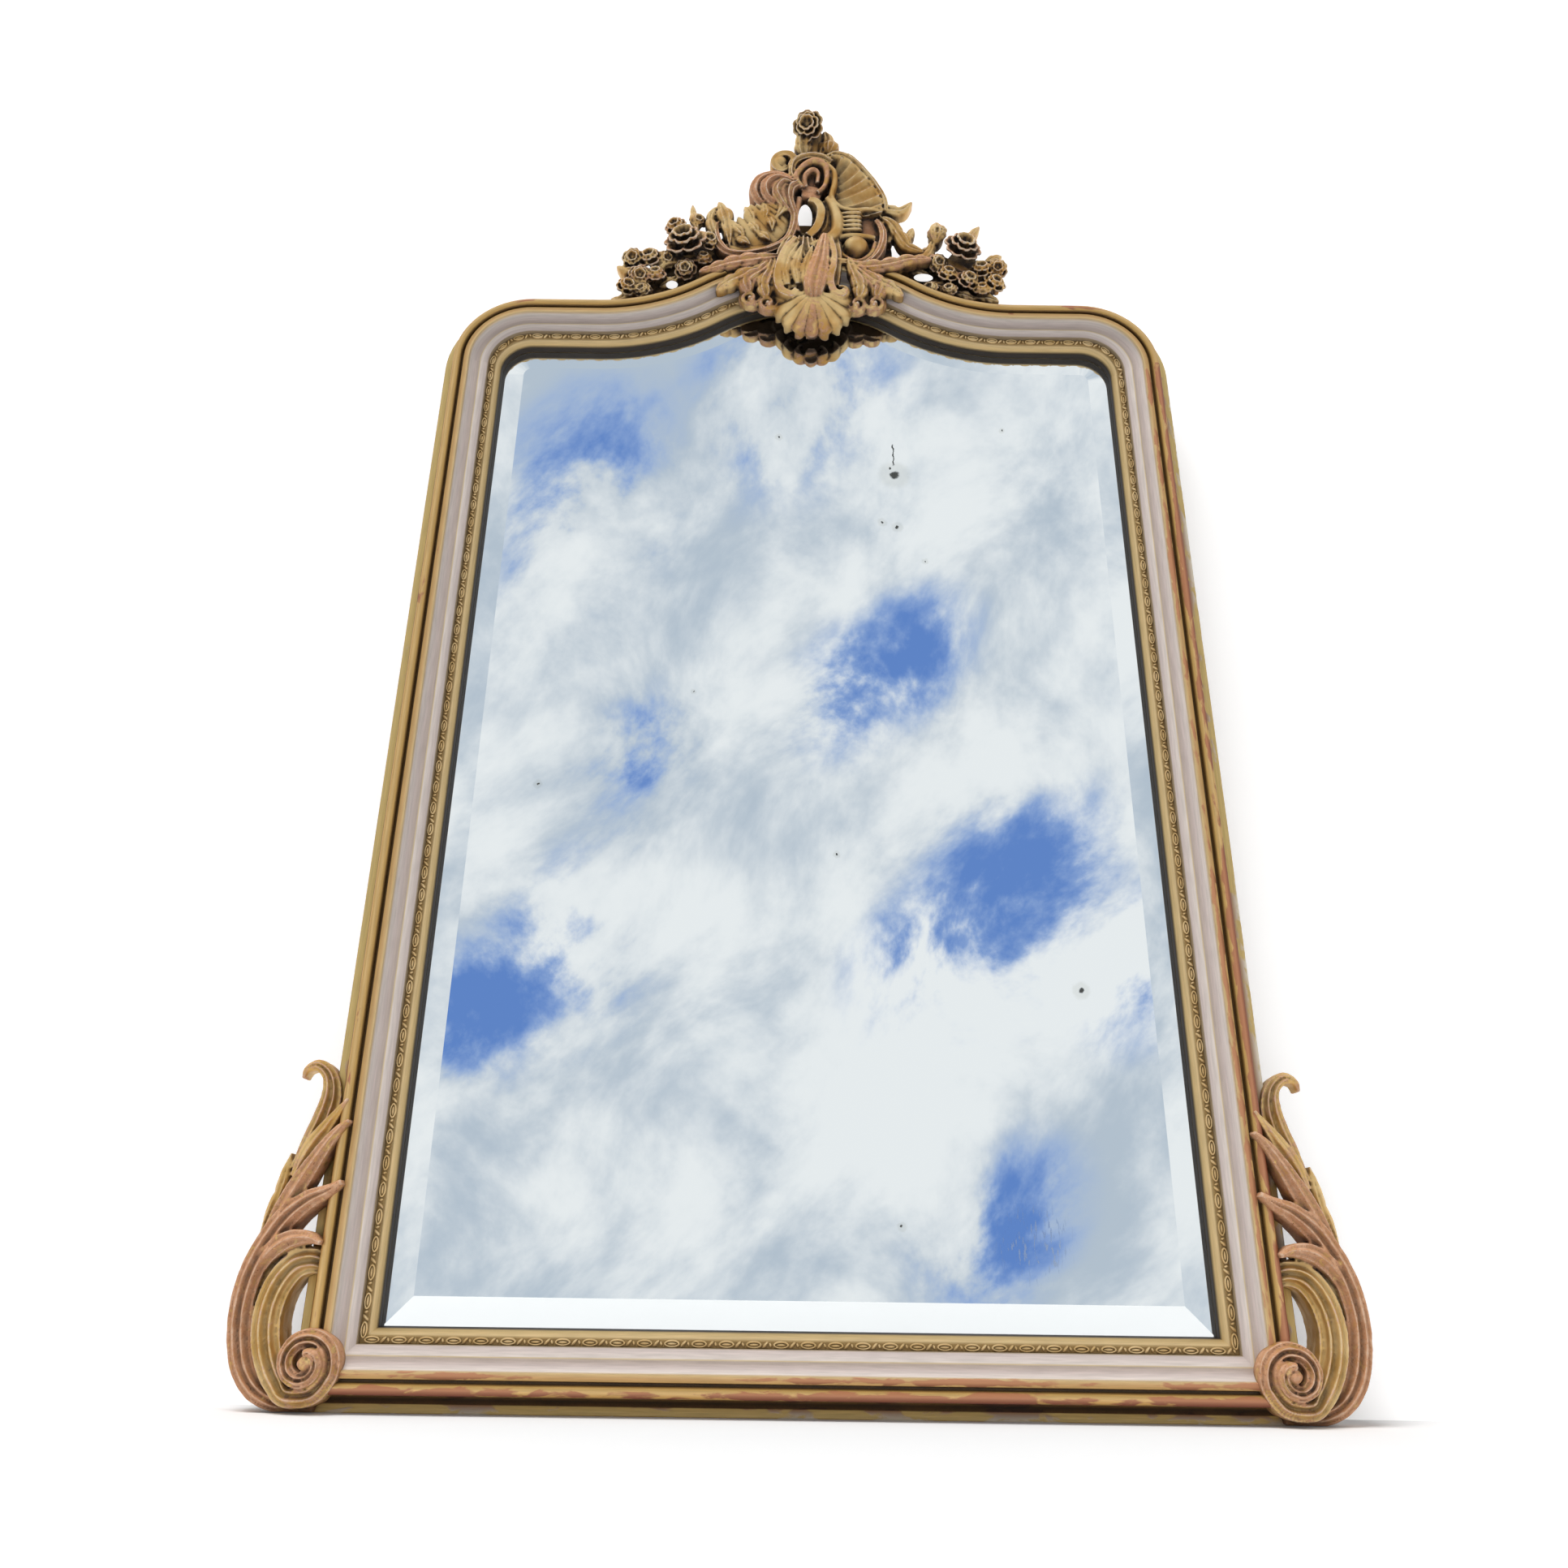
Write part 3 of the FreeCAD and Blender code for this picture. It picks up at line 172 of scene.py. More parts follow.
def gilding(name, rubbed, sooted_and_shaded, arrises, hollow_mm, leaf=LEAF):
    """Gold leaf on red clay; how rubbed, how dark its hollows are with soot and painted shade, and how pale
    its arrises are with chalk and painted highlight, from 0 to 1.
    """
    material, add = new_material(name)
    where = add("TexCoord").outputs["Object"]
    surface = add("NewGeometry")
    high = surface.outputs["Pointiness"]
    tone = add("Attribute", attribute_name="tone").outputs["Fac"]
    open_air = add("AmbientOcclusion", Distance=hollow_mm * MM, samples=8).outputs["AO"]
    broad = add("TexNoise", where, every(38), 3.0)
    patches = add("TexNoise", where, every(8), 6.0, Distortion=0.6)
    grain = add("TexNoise", where, every(1.8), 3.0)
    edges = add("MapRange", high, 0.505, 0.56, **SOFT)
    worn = add("Math", tone, 0.75, add("Math", edges, 0.22, patches, **SUM), **SUM)
    clay_shows = add("MapRange", worn, 0.98 - 0.4 * rubbed, 1.2 - 0.4 * rubbed, **SOFT)
    # Gesso cream where the leaf is rubbed off the arrises, also laid on as a painted highlight.
    chalk_and_highlight = add("MapRange", add("Math", edges, grain, **TIMES), 0.18, 0.5, 0.0, arrises, **SOFT)
    gold = add("Mix", add("MapRange", broad, 0.35, 0.65, **SOFT), linear(leaf), linear(LEAF_PALE), **COLOUR)
    clay = add("Mix", add("MapRange", patches, 0.4, 0.75, **SOFT),
               linear(CLAY), linear(CLAY_PALE), **COLOUR)
    clay = add("Mix", add("MapRange", grain, 0.56, 0.8, **SOFT), clay, linear(CLAY_DEEP), **COLOUR)
    colour = add("Mix", clay_shows, gold, clay, **COLOUR)
    colour = add("Mix", chalk_and_highlight, colour, linear(CHALK), **COLOUR)
    # Painted shade: soot in the hollows, darkest where ambient occlusion finds them deep.
    hollow = add("MapRange", high, 0.498, 0.46, 0.0, 0.6 * sooted_and_shaded, **SOFT)
    deep = add("MapRange", open_air, 0.95, 0.38, 0.0, sooted_and_shaded, **SOFT)
    soot_and_shade = add("Math", hollow, deep, use_clamp=True)
    soot_and_shade = add("Math", soot_and_shade, add("MapRange", patches, 0.2, 0.75, 0.75, 1.15), **TIMES)
    soot_and_shade_colour = add("Mix", soot_and_shade, linear(SOOT_AND_SHADE_PALE), linear(SOOT_AND_SHADE), **COLOUR)
    colour = add("Mix", soot_and_shade, colour, soot_and_shade_colour, **COLOUR)
    # Faces turned to the wall: bare wood, painted dark as the shade of the unlit backs seen in the mirror.
    wall_side = add("SeparateXYZ", surface.outputs["True Normal"]).outputs["Y"]
    bare = add("MapRange", wall_side, 0.25, 0.6, **SOFT)
    wood = add("Mix", grain, linear(BARE_WOOD_AND_SHADE), linear("#3A2A1C"), **COLOUR)
    colour = add("Mix", bare, colour, wood, **COLOUR)
    dull = add("Math", add("Math", clay_shows, soot_and_shade, **MOST),
               add("Math", chalk_and_highlight, bare, **MOST), **MOST)
    add("OutputMaterial", add("BsdfPrincipled", Base_Color=colour,
                              Metallic=add("MapRange", dull, 0.0, 0.9, 0.72, 0.0),
                              Roughness=add("MapRange", dull, 0.0, 1.0, 0.38, 0.7),
                              Normal=add("Bump", Height=add("Math", grain, 0.5, patches, **SUM),
                                         Distance=0.35 * MM)))
    return material


# The crest takes the most soot and painted shade, with occlusion read over 34 mm.
CREST_GILDING = gilding("rubbed_water_gilding_crest", 0.5, 1.0, 0.7, 34)
CORNER_GILDING = gilding("rubbed_water_gilding_corner", 0.55, 0.6, 0.3, 9, "#CDA35C")
print("two gildings mixed")

# %% [markdown]
# ## The moulding's finish
# One brush runs along the moulding, so its marks do too. The mesh carries the distance
# along the run and across it, and the finish reads both: across picks the zone (leaf,
# clay, paint, soot, the painted shade of the lip, quirks and hollow, and the painted
# highlight on the crown of the torus), along stretches the brush marks and the wear. How
# far dusters have worn each side differs, and is stored on the mesh.

# %% Moulding finish
def moulding_finish(name, zones, brush_depth):
    """Zones are rows of (mm across, fresh colour, colour below it, metal, wear, soot and painted shade)."""
    material, add = new_material(name)
    run = add("Attribute", attribute_name="run").outputs["Vector"]
    worn = add("Attribute", attribute_name="worn").outputs["Fac"]
    across = add("Math", add("SeparateXYZ", run).outputs["Y"], MEMBER, operation="DIVIDE")
    columns = []
    for column in range(1, 6):
        ramp = add("ValToRGB", across)
        stops = ramp.color_ramp.elements
        while len(stops) < len(zones):
            stops.new(0.5)
        for stop, zone in zip(stops, zones):
            value = zone[column]
            stop.position = zone[0] / MEMBER
            stop.color = linear(value) if isinstance(value, str) else (value, value, value, 1.0)
        columns.append(ramp)
    fresh, below, metal, wear, soot_and_shade = columns
    where = add("TexCoord").outputs["Object"]
    along_run = add("VectorMath", run, (0.06 * MM, MM, MM), operation="MULTIPLY")
    short_run = add("VectorMath", run, (0.35 * MM, MM, MM), operation="MULTIPLY")
    brush = add("TexNoise", along_run, every(1.7), 4.0)
    patches = add("TexNoise", short_run, every(9), 8.0, Distortion=0.5)
    broad = add("TexNoise", where, every(130), 2.0)
    grain = add("TexNoise", where, every(1.3), 2.0)
    spread = add("Math", broad, 0.6, add("Math", patches, 0.7, 0.0, **SUM), **SUM)
    limit = add("MapRange", add("Math", wear, worn, **TIMES), 0.0, 1.0, 1.12, 0.36)
    gone = add("MapRange", add("Math", spread, limit, operation="SUBTRACT"), -0.02, 0.06, **SOFT)
    brushed = add("HueSaturation", Color=fresh, Value=add("MapRange", brush, 0.3, 0.75, 1.06, 0.84))
    colour = add("Mix", gone, brushed, below, **COLOUR)
    # Soot and painted shade: each zone is darkened by its last column.
    grime_and_shade = add("Math", soot_and_shade, add("MapRange", add("Math", patches, grain), 0.6, 1.25, 0.55, 1.2), **TIMES)
    colour = add("Mix", grime_and_shade, colour, linear(SOOT_AND_SHADE), **COLOUR)
    metallic = add("Math", metal, add("Math", 1.0, add("Math", gone, grime_and_shade, **MOST), **LESS), **TIMES)
    rough = add("MapRange", metallic, 0.0, 1.0, 0.58, 0.36)
    relief = add("Math", gone, -0.8, brush, **SUM)
    add("OutputMaterial", add("BsdfPrincipled", Base_Color=colour, Metallic=metallic, Roughness=rough,
                              Normal=add("Bump", Height=relief, Distance=brush_depth * MM)))
    return material


# The first zone, the lip's inner face, is dark as painted shade under the lip; the last column adds soot
# and painted shade in the bead's groove.
SIGHT_ZONES = [
    (0.0, "#33271A", "#33271A", 0.0, 0.0, 0.3),
    (0.5, "#A58C60", "#5A4128", 0.3, 0.3, 0.3),
    (1.2, "#D6B880", "#C59A70", 0.55, 0.25, 0.05),
    (5.6, "#DFC290", "#C59A70", 0.55, 0.35, 0.0),
    (7.0, "#C0A06A", CLAY_DEEP, 0.4, 0.4, 0.3),
    (8.2, "#AF8E56", "#7A5A32", 0.35, 0.3, 0.3),
    (13.0, "#AF8E56", "#7A5A32", 0.35, 0.3, 0.3),
    (14.0, "#BF9F68", CLAY, 0.4, 0.4, 0.3),
]
PAINT = "#C9BAB4"
PAINT_PALE = "#DBD0C8"
PAINT_WARM = "#BFAEA2"
COVE_ZONES = [
    (14.0, "#B09A78", "#6A5030", 0.2, 0.3, 0.3),
    (15.2, PAINT, "#A08A6C", 0.0, 0.2, 0.05),
    (22.8, PAINT_PALE, "#AE9670", 0.0, 0.3, 0.0),
    (23.7, "#D9C49A", "#C59A70", 0.3, 0.4, 0.0),
    (24.7, PAINT_WARM, "#A08A6C", 0.0, 0.2, 0.12),
    (30.0, PAINT, "#A08A6C", 0.0, 0.15, 0.03),
    (34.8, PAINT_PALE, "#AE9670", 0.0, 0.3, 0.0),
    (36.0, "#DDC08C", "#C08A66", 0.6, 0.6, 0.0),
    (39.5, "#D0A670", "#B8805A", 0.6, 0.8, 0.0),
    (42.4, "#C99F62", CLAY_DEEP, 0.6, 0.6, 0.1),
    # dark where the cove drops into the quirk: painted shade
    (43.0, "#8A6434", CLAY_DEEP, 0.4, 0.4, 0.5),
]
# Painted light: the quirk and the hollow beyond the torus are dark as painted shade, the crown of the torus
# is pale as a painted highlight, and its outer side is darker as painted shade.
OUTER_ZONES = [
    (43.0, "#6E4E26", "#3E2410", 0.3, 0.3, 0.7),
    (46.2, "#8A6632", CLAY_DEEP, 0.4, 0.4, 0.5),
    (47.6, "#CFA45E", "#A8704A", 0.75, 0.6, 0.1),
    (51.5, "#E2BC80", "#B57C5A", 0.75, 0.85, 0.0),
    (55.2, "#CC9F5A", "#8A4A2C", 0.75, 0.85, 0.1),
    (57.0, "#9A7440", "#6A2E1A", 0.4, 0.7, 0.4),
    (60.5, "#4A3014", "#2C1608", 0.3, 0.5, 0.75),
    (64.6, "#75542A", "#4C2414", 0.3, 0.6, 0.55),
    (65.4, "#CDAE6C", "#A87C54", 0.65, 0.7, 0.05),
    (71.6, "#D6BA7C", CHALK, 0.65, 0.6, 0.0),
    (73.0, "#C9A864", CHALK, 0.6, 0.75, 0.0),
]
SIGHT_FINISH = moulding_finish("gilded_sight_edge", SIGHT_ZONES, 0.12)
COVE_FINISH = moulding_finish("painted_gesso_cove", COVE_ZONES, 0.15)
OUTER_FINISH = moulding_finish("gilded_outer_moulding", OUTER_ZONES, 0.15)
# How far dusters have worn each side, from 0 to 1.
WORN = {"bottom": 0.82, "left": 0.5, "right": 0.92, "top": 0.55}
print("three moulding finishes")

# %% [markdown]
# ## The moulding
# A joiner runs the profile with planes and then mitres it, and bends it over the head from
# sawn pieces. In mesh code that is one profile carried along a path: each place on the path
# has a point on the sight edge and an outward direction, and a profile point sits so far
# out and so far forward from it. Along a straight run the outward direction leans more and
# more until it points along the mitre, which is all that a mitre is. The sharp arrises are
# softened, as gesso leaves them.

# %% Profiles
def arc(start, middle, end, count=9):
    """Points on the circle through three points, without the first one."""
    (ax, ay), (bx, by), (cx, cy) = start, middle, end
    d = 2 * (ax * (by - cy) + bx * (cy - ay) + cx * (ay - by))
    ux = ((ax**2 + ay**2) * (by - cy) + (bx**2 + by**2) * (cy - ay) + (cx**2 + cy**2) * (ay - by)) / d
    uy = ((ax**2 + ay**2) * (cx - bx) + (bx**2 + by**2) * (ax - cx) + (cx**2 + cy**2) * (bx - ax)) / d
    radius = math.hypot(ax - ux, ay - uy)
    angles = np.unwrap([math.atan2(y - uy, x - ux) for x, y in (start, middle, end)])
    turns = np.interp(np.linspace(0, 2, count + 1)[1:], [0, 1, 2], angles)
    return [(ux + radius * math.cos(a), uy + radius * math.sin(a)) for a in turns]


def softened(points, round_mm=0.5):
    """Each corner of a closed profile cut off by a short flat."""
    result = []
    count = len(points)
    for i, here in enumerate(points):
        before, after = points[i - 1], points[(i + 1) % count]
        to_before = Vector(before) - Vector(here)
        to_after = Vector(after) - Vector(here)
        cut = min(round_mm, to_before.length / 3, to_after.length / 3)
        if to_before.angle(to_after) > math.radians(158):
            result.append(tuple(here))
        else:
            result.append(tuple(Vector(here) + to_before.normalized() * cut))
            result.append(tuple(Vector(here) + to_after.normalized() * cut))
    return result


QUARTER = math.sqrt(0.5)
# Heights above the carcass, then distances out from the sight edge (U), in millimetres.
LIP, SIGHT_FRONT, BEAD_GROUND = 5.0, 16.5, 18.0
FLAT_IN, FLAT_OUT, BAND_FRONT = 24.0, 27.0, 37.0
QUIRK_FLOOR, TORUS_FRONT, HOLLOW_TOP, EDGE_FRONT = 32.5, 40.3, 34.75, 12.0
U_BEAD, U_FLAT, U_ARRIS, U_BAND, U_QUIRK, U_TORUS, U_HOLLOW, U_EDGE = 7, 14, 24, 36, 43, 46.5, 56.5, 65
sight_profile = [(0, 0), (0, LIP)] + arc(
    (0, LIP), (U_BEAD * (1 - QUARTER), LIP + (SIGHT_FRONT - LIP) * QUARTER), (U_BEAD, SIGHT_FRONT)
) + [(U_BEAD, BEAD_GROUND), (U_FLAT, BEAD_GROUND), (U_FLAT, 0)]
cove_profile = [(U_FLAT, 0), (U_FLAT, FLAT_IN), (U_ARRIS, FLAT_OUT)] + arc(
    (U_ARRIS, FLAT_OUT),
    (U_ARRIS + (U_BAND - U_ARRIS) * QUARTER, BAND_FRONT - (BAND_FRONT - FLAT_OUT) * QUARTER),
    (U_BAND, BAND_FRONT)) + [(U_QUIRK, BAND_FRONT), (U_QUIRK, 0)]
outer_profile = [(U_QUIRK, 0), (U_QUIRK, QUIRK_FLOOR), (U_TORUS, QUIRK_FLOOR)] + arc(
    (U_TORUS, QUIRK_FLOOR), ((U_TORUS + U_HOLLOW) / 2, TORUS_FRONT), (U_HOLLOW, HOLLOW_TOP), 12
) + arc((U_HOLLOW, HOLLOW_TOP),
        (U_EDGE - (U_EDGE - U_HOLLOW) * QUARTER, HOLLOW_TOP - (HOLLOW_TOP - EDGE_FRONT) * QUARTER),
        (U_EDGE, EDGE_FRONT)) + [(MEMBER, EDGE_FRONT), (MEMBER, 0)]
print("profiles of %d, %d and %d points" % (len(sight_profile), len(cove_profile), len(outer_profile)))

# %% Paths
# From the spring a small round turns on to a short level shoulder; a hollow sweep rises from
# it, and the crown's arc carries on where the sweep's tangent leaves off.
CORNER_RADIUS = 40
SHOULDER = SPRING + CORNER_RADIUS
CORNER_X = HALF_SIGHT - CORNER_RADIUS
SWEEP_X, SWEEP_RADIUS, SWEEP_ANGLE = 275.0, 290.0, math.radians(33.5)
crown_radius = SWEEP_X / math.sin(SWEEP_ANGLE) - SWEEP_RADIUS
crown_centre = SHOULDER + SWEEP_RADIUS - (SWEEP_RADIUS + crown_radius) * math.cos(SWEEP_ANGLE)


def head_path():
    """(x, z, outward x, outward z) along the head's sight edge, from spring to spring."""
    half = []
    for a in np.linspace(0, SWEEP_ANGLE, 14):
        half.append((crown_radius * math.sin(a), crown_centre + crown_radius * math.cos(a), a))
    for a in np.linspace(SWEEP_ANGLE, 0, 20)[1:]:
        half.append((SWEEP_X - SWEEP_RADIUS * math.sin(a),
                     SHOULDER + SWEEP_RADIUS * (1 - math.cos(a)), a))
    for x in np.linspace(SWEEP_X, CORNER_X, 9)[1:]:
        half.append((x, SHOULDER, 0.0))
    for a in np.linspace(0, math.pi / 2, 16)[1:]:
        half.append((CORNER_X + CORNER_RADIUS * math.sin(a), SPRING + CORNER_RADIUS * math.cos(a), a))
    right = [(x, z, math.sin(a), math.cos(a)) for x, z, a in half]
    left = [(-x, z, -out_x, out_z) for x, z, out_x, out_z in right[:0:-1]]
    return left + right


def stile_path(side):
    """Up one stile; the outward direction leans down at the mitre."""
    heights = np.linspace(SIGHT_LOW, SPRING, 60)
    return [(side * HALF_SIGHT, z, side, -(SPRING - z) / (SPRING - SIGHT_LOW)) for z in heights]


def sill_path():
    """Along the bottom, left to right, leaning outwards at both mitres."""
    return [(x, SIGHT_LOW, x / HALF_SIGHT, -1.0) for x in np.linspace(-HALF_SIGHT, HALF_SIGHT, 240)]


PATHS = {"bottom": sill_path(), "left": stile_path(-1), "right": stile_path(1), "top": head_path()}
assert abs(crown_centre + crown_radius + MEMBER - CROWN_TOP) < 1, "the head's path left the frame"
print({name: len(path) for name, path in PATHS.items()})

# %% Making a piece
def mesh_object(name, points, faces, material):
    """A mesh from carver's points and its faces, smooth where it is not sharp."""
    mesh = bpy.data.meshes.new(name)
    mesh.from_pydata(place(points).tolist(), [], faces)
    mesh.materials.append(material)
    work = bmesh.new()
    work.from_mesh(mesh)
    bmesh.ops.recalc_face_normals(work, faces=work.faces)
    work.to_mesh(mesh)
    work.free()
    mesh.shade_smooth()
    mesh.set_sharp_from_angle(angle=math.radians(38))
    piece = bpy.data.objects.new(name, mesh)
    bpy.context.scene.collection.objects.link(piece)
    return piece


def seat(piece, slot, *nodes, body=BODY):
    """The piece rides on its body and stands for its nodes; slot is not used."""
    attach(piece, body)
    if nodes:
        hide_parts(*nodes)
    return piece


def point_attribute(piece, name, kind, values):
    """Stores one value for each point of the piece's mesh, for its finish to read."""
    attribute = piece.data.attributes.new(name, kind, "POINT")
    key = "vector" if kind == "FLOAT_VECTOR" else "value"
    attribute.data.foreach_set(key, np.asarray(values, np.float32).ravel())


def run_moulding(name, profile, path, material, worn):
    """Carries a closed profile along a path and caps both ends."""
    profile = softened(profile)
    path = np.array(path)
    steps = np.hypot(*np.diff(path[:, :2], axis=0).T)
    along = np.concatenate([[0], np.cumsum(steps)])
    points, run = [], []
    for (x, z, out_x, out_z), s in zip(path, along):
        for u, v in profile:
            points.append((x + out_x * u, z + out_z * u, v))
            run.append((s, u, v))
    count = len(profile)
    faces = [tuple(range(count - 1, -1, -1)),
             tuple(range((len(path) - 1) * count, len(path) * count))]
    for i in range(len(path) - 1):
        for j in range(count):
            k = (j + 1) % count
            faces.append((i * count + j, i * count + k, (i + 1) * count + k, (i + 1) * count + j))
    piece = mesh_object(name, points, faces, material)
    point_attribute(piece, "run", "FLOAT_VECTOR", run)
    point_attribute(piece, "worn", "FLOAT", [worn] * len(points))
    return piece


for member, profile, finish, slot in (
        ("sight_edge", sight_profile, SIGHT_FINISH, "gilt_wood"),
        ("painted_cove", cove_profile, COVE_FINISH, "painted_wood"),
        ("outer_moulding", outer_profile, OUTER_FINISH, "gilt_wood")):
    for side, path in PATHS.items():
        node = "%s_%s" % (member, side)
        seat(run_moulding("gessoed_" + node, profile, path, finish, WORN[side]), slot, node)
print("12 runs of moulding")

# %% [markdown]
# ## The bead run
# A strip of composition ornament is glued into the groove inside the paint: a long pearl
# ring round a bar, then ribbon wound across, again and again, one set every 25 mm. It is
# pressed from one mould, so one motif is modelled and repeated along each path.

# %% Bead and ribbon run
BEAD_PITCH = 25.0
BEAD_U = (U_BEAD + U_FLAT) / 2
RING_CENTRE, RING_LONG, RING_WIDE = -4.2, 6.6, 2.6
RING_THICK, RING_PROUD = 1.0, 1.5
SLIPS = [
    # the bar in the ring, then two slips of ribbon: (centre, slant, length, half width)
    (RING_CENTRE, 0, 9.5, 1.3), (6.6, 0.5, 6.0, 1.9), (11.4, -0.35, 3.0, 1.7),
]


def ring_motif():
    """An oval ring with its bar and two slips of ribbon, as (along, across, front) points."""
    points, faces = [], []
    around, tube = 18, 8
    for i in range(around):
        a = 2 * math.pi * i / around
        for j in range(tube):
            b = 2 * math.pi * j / tube
            reach = RING_THICK * math.cos(b)
            points.append((RING_CENTRE + (RING_LONG + reach) * math.cos(a),
                           (RING_WIDE + reach) * math.sin(a), 0.6 + RING_PROUD * math.sin(b)))
    for i in range(around):
        for j in range(tube):
            i2, j2 = (i + 1) % around, (j + 1) % tube
            faces.append((i * tube + j, i2 * tube + j, i2 * tube + j2, i * tube + j2))
    rows, sides = 7, 8
    for centre, slant, length, width in SLIPS:
        start = len(points)
        for i in range(rows):
            share = i / (rows - 1)
            half = width * (0.12 + math.sin(math.pi * share) ** 0.7)
            for j in range(sides):
                b = 2 * math.pi * j / sides
                along = centre + (share - 0.5) * length
                points.append((along, slant * (along - centre) * 1.6 + half * math.cos(b),
                               0.5 + half * math.sin(b)))
        for i in range(rows - 1):
            for j in range(sides):
                j2 = (j + 1) % sides
                faces.append((start + i * sides + j, start + i * sides + j2,
                              start + (i + 1) * sides + j2, start + (i + 1) * sides + j))
        faces.append(tuple(start + j for j in range(sides)))
        faces.append(tuple(start + (rows - 1) * sides + j for j in range(sides - 1, -1, -1)))
    return np.array(points), faces


def run_of_beads(name, path):
    """The motif repeated along a path at the middle of the groove."""
    path = np.array(path)
    line = path[:, :2] + path[:, 2:] * BEAD_U
    length = np.concatenate([[0], np.cumsum(np.hypot(*np.diff(line, axis=0).T))])
    motif, motif_faces = ring_motif()
    count = int(length[-1] / BEAD_PITCH)
    points, faces = [], []
    for n in range(count):
        s = (n + 0.5) * length[-1] / count
        ahead, behind = min(s + 4, length[-1]), max(s - 4, 0)
        here = np.array([np.interp(s, length, line[:, k]) for k in (0, 1)])
        tangent = np.array([np.interp(ahead, length, line[:, k]) - np.interp(behind, length, line[:, k])
                            for k in (0, 1)])
        tangent /= np.linalg.norm(tangent)
        outward = np.array([-tangent[1], tangent[0]])
        start = len(points)
        for along, across, front in motif:
            spot = here + tangent * along + outward * across
            points.append((spot[0], spot[1], BEAD_GROUND + front))
        faces += [tuple(start + k for k in face) for face in motif_faces]
    return mesh_object(name, points, faces, BEAD_GILDING)


BEAD_GILDING = gilding("gilded_bead_run", 0.3, 0.5, 0.15, 4, "#D0A964")
for side, path in PATHS.items():
    seat(run_of_beads("bead_run_" + side, path), "gilt_wood")
print("bead runs along four sides")

# %% [markdown]
# ## Carving tools
# The ornament is carved in limewood: leaves, shells, scrolls, roses and snails, undercut
# and run together. A sculptor in Blender would push clay about by hand, but a lesson in
# code wants rules. So each kind of form is one small function that fills a grid of
# points: a front, and a back behind it. Joined at their edges they are a closed shell,
# and any number of shells are later melted into one skin, as gesso melts carving.
#
# The ornament was drawn as it is seen, on one sheet held 25 mm in front of the carcass.
# A form nearer the eye than the sheet is really smaller than its drawing, so every place
# passes through one function that carries it along the line of sight.

# %% From the drawing to the wood
SIGHT_X, SIGHT_Z, SIGHT_V = -19.8, 110.0, 1284.0  # the eye that the drawing was made from
SHEET_V = 25.0


def drawn(rows):
    """Rows of (x, z, v, width, height) on the sheet, at their true places in the wood."""
    rows = np.array(rows, float)
    nearer = (SIGHT_V - rows[:, 2]) / (SIGHT_V - SHEET_V)
    rows[:, 0] = SIGHT_X + (rows[:, 0] - SIGHT_X) * nearer
    rows[:, 1] = SIGHT_Z + (rows[:, 1] - SIGHT_Z) * nearer
    return rows


def smooth(rows, count):
    """A smooth run through the rows (Catmull-Rom)."""
    rows = np.asarray(rows, float)
    rows = np.vstack([2 * rows[0] - rows[1], rows, 2 * rows[-1] - rows[-2]])
    spot = np.linspace(0, len(rows) - 3 - 1e-9, count)
    i = spot.astype(int)
    t = (spot - i)[:, None]
    a, b, c, d = (rows[i + k] for k in range(4))
    return 0.5 * (2 * b + (c - a) * t + (2 * a - 5 * b + 4 * c - d) * t**2
                  + (3 * b - a - 3 * c + d) * t**3)


def shell(front, back, tone):
    """A closed skin round a front grid of points and the back grid behind it."""
    rows, columns = front.shape[:2]
    points = np.concatenate([front.reshape(-1, 3), back.reshape(-1, 3)])
    index = np.arange(rows * columns).reshape(rows, columns)
    behind = index + rows * columns
    faces = []
    for i in range(rows - 1):
        for j in range(columns - 1):
            faces.append((index[i, j], index[i, j + 1], index[i + 1, j + 1], index[i + 1, j]))
            faces.append((behind[i, j], behind[i + 1, j], behind[i + 1, j + 1], behind[i, j + 1]))
    rim = list(index[0]) + list(index[1:, -1]) + list(index[-1, -2::-1]) + list(index[-2:0:-1, 0])
    rim_behind = [k + rows * columns for k in rim]
    for k in range(len(rim)):
        m = (k + 1) % len(rim)
        faces.append((rim[k], rim_behind[k], rim_behind[m], rim[m]))
    return points, [tuple(int(k) for k in face) for face in faces], tone


def spine_frame(spine):
    """Across and outward directions along a spine of (x, z, v) rows."""
    along = np.gradient(spine, axis=0)
    along /= np.linalg.norm(along, axis=1)[:, None] + 1e-9
    across = np.stack([-along[:, 1], along[:, 0], np.zeros(len(spine))], 1)
    across /= np.linalg.norm(across, axis=1)[:, None] + 1e-9
    return across, np.cross(along, across)


print("drawing sheet %.0f mm in front of the carcass" % SHEET_V)

# %% [markdown]
# A carver's stem, scroll or band is a spine with a section across it: round like a bead,
# or hollowed by a gouge into flutes. A leaf is the same, but its veins slant towards the
# tip and its edge runs in and out in lobes.

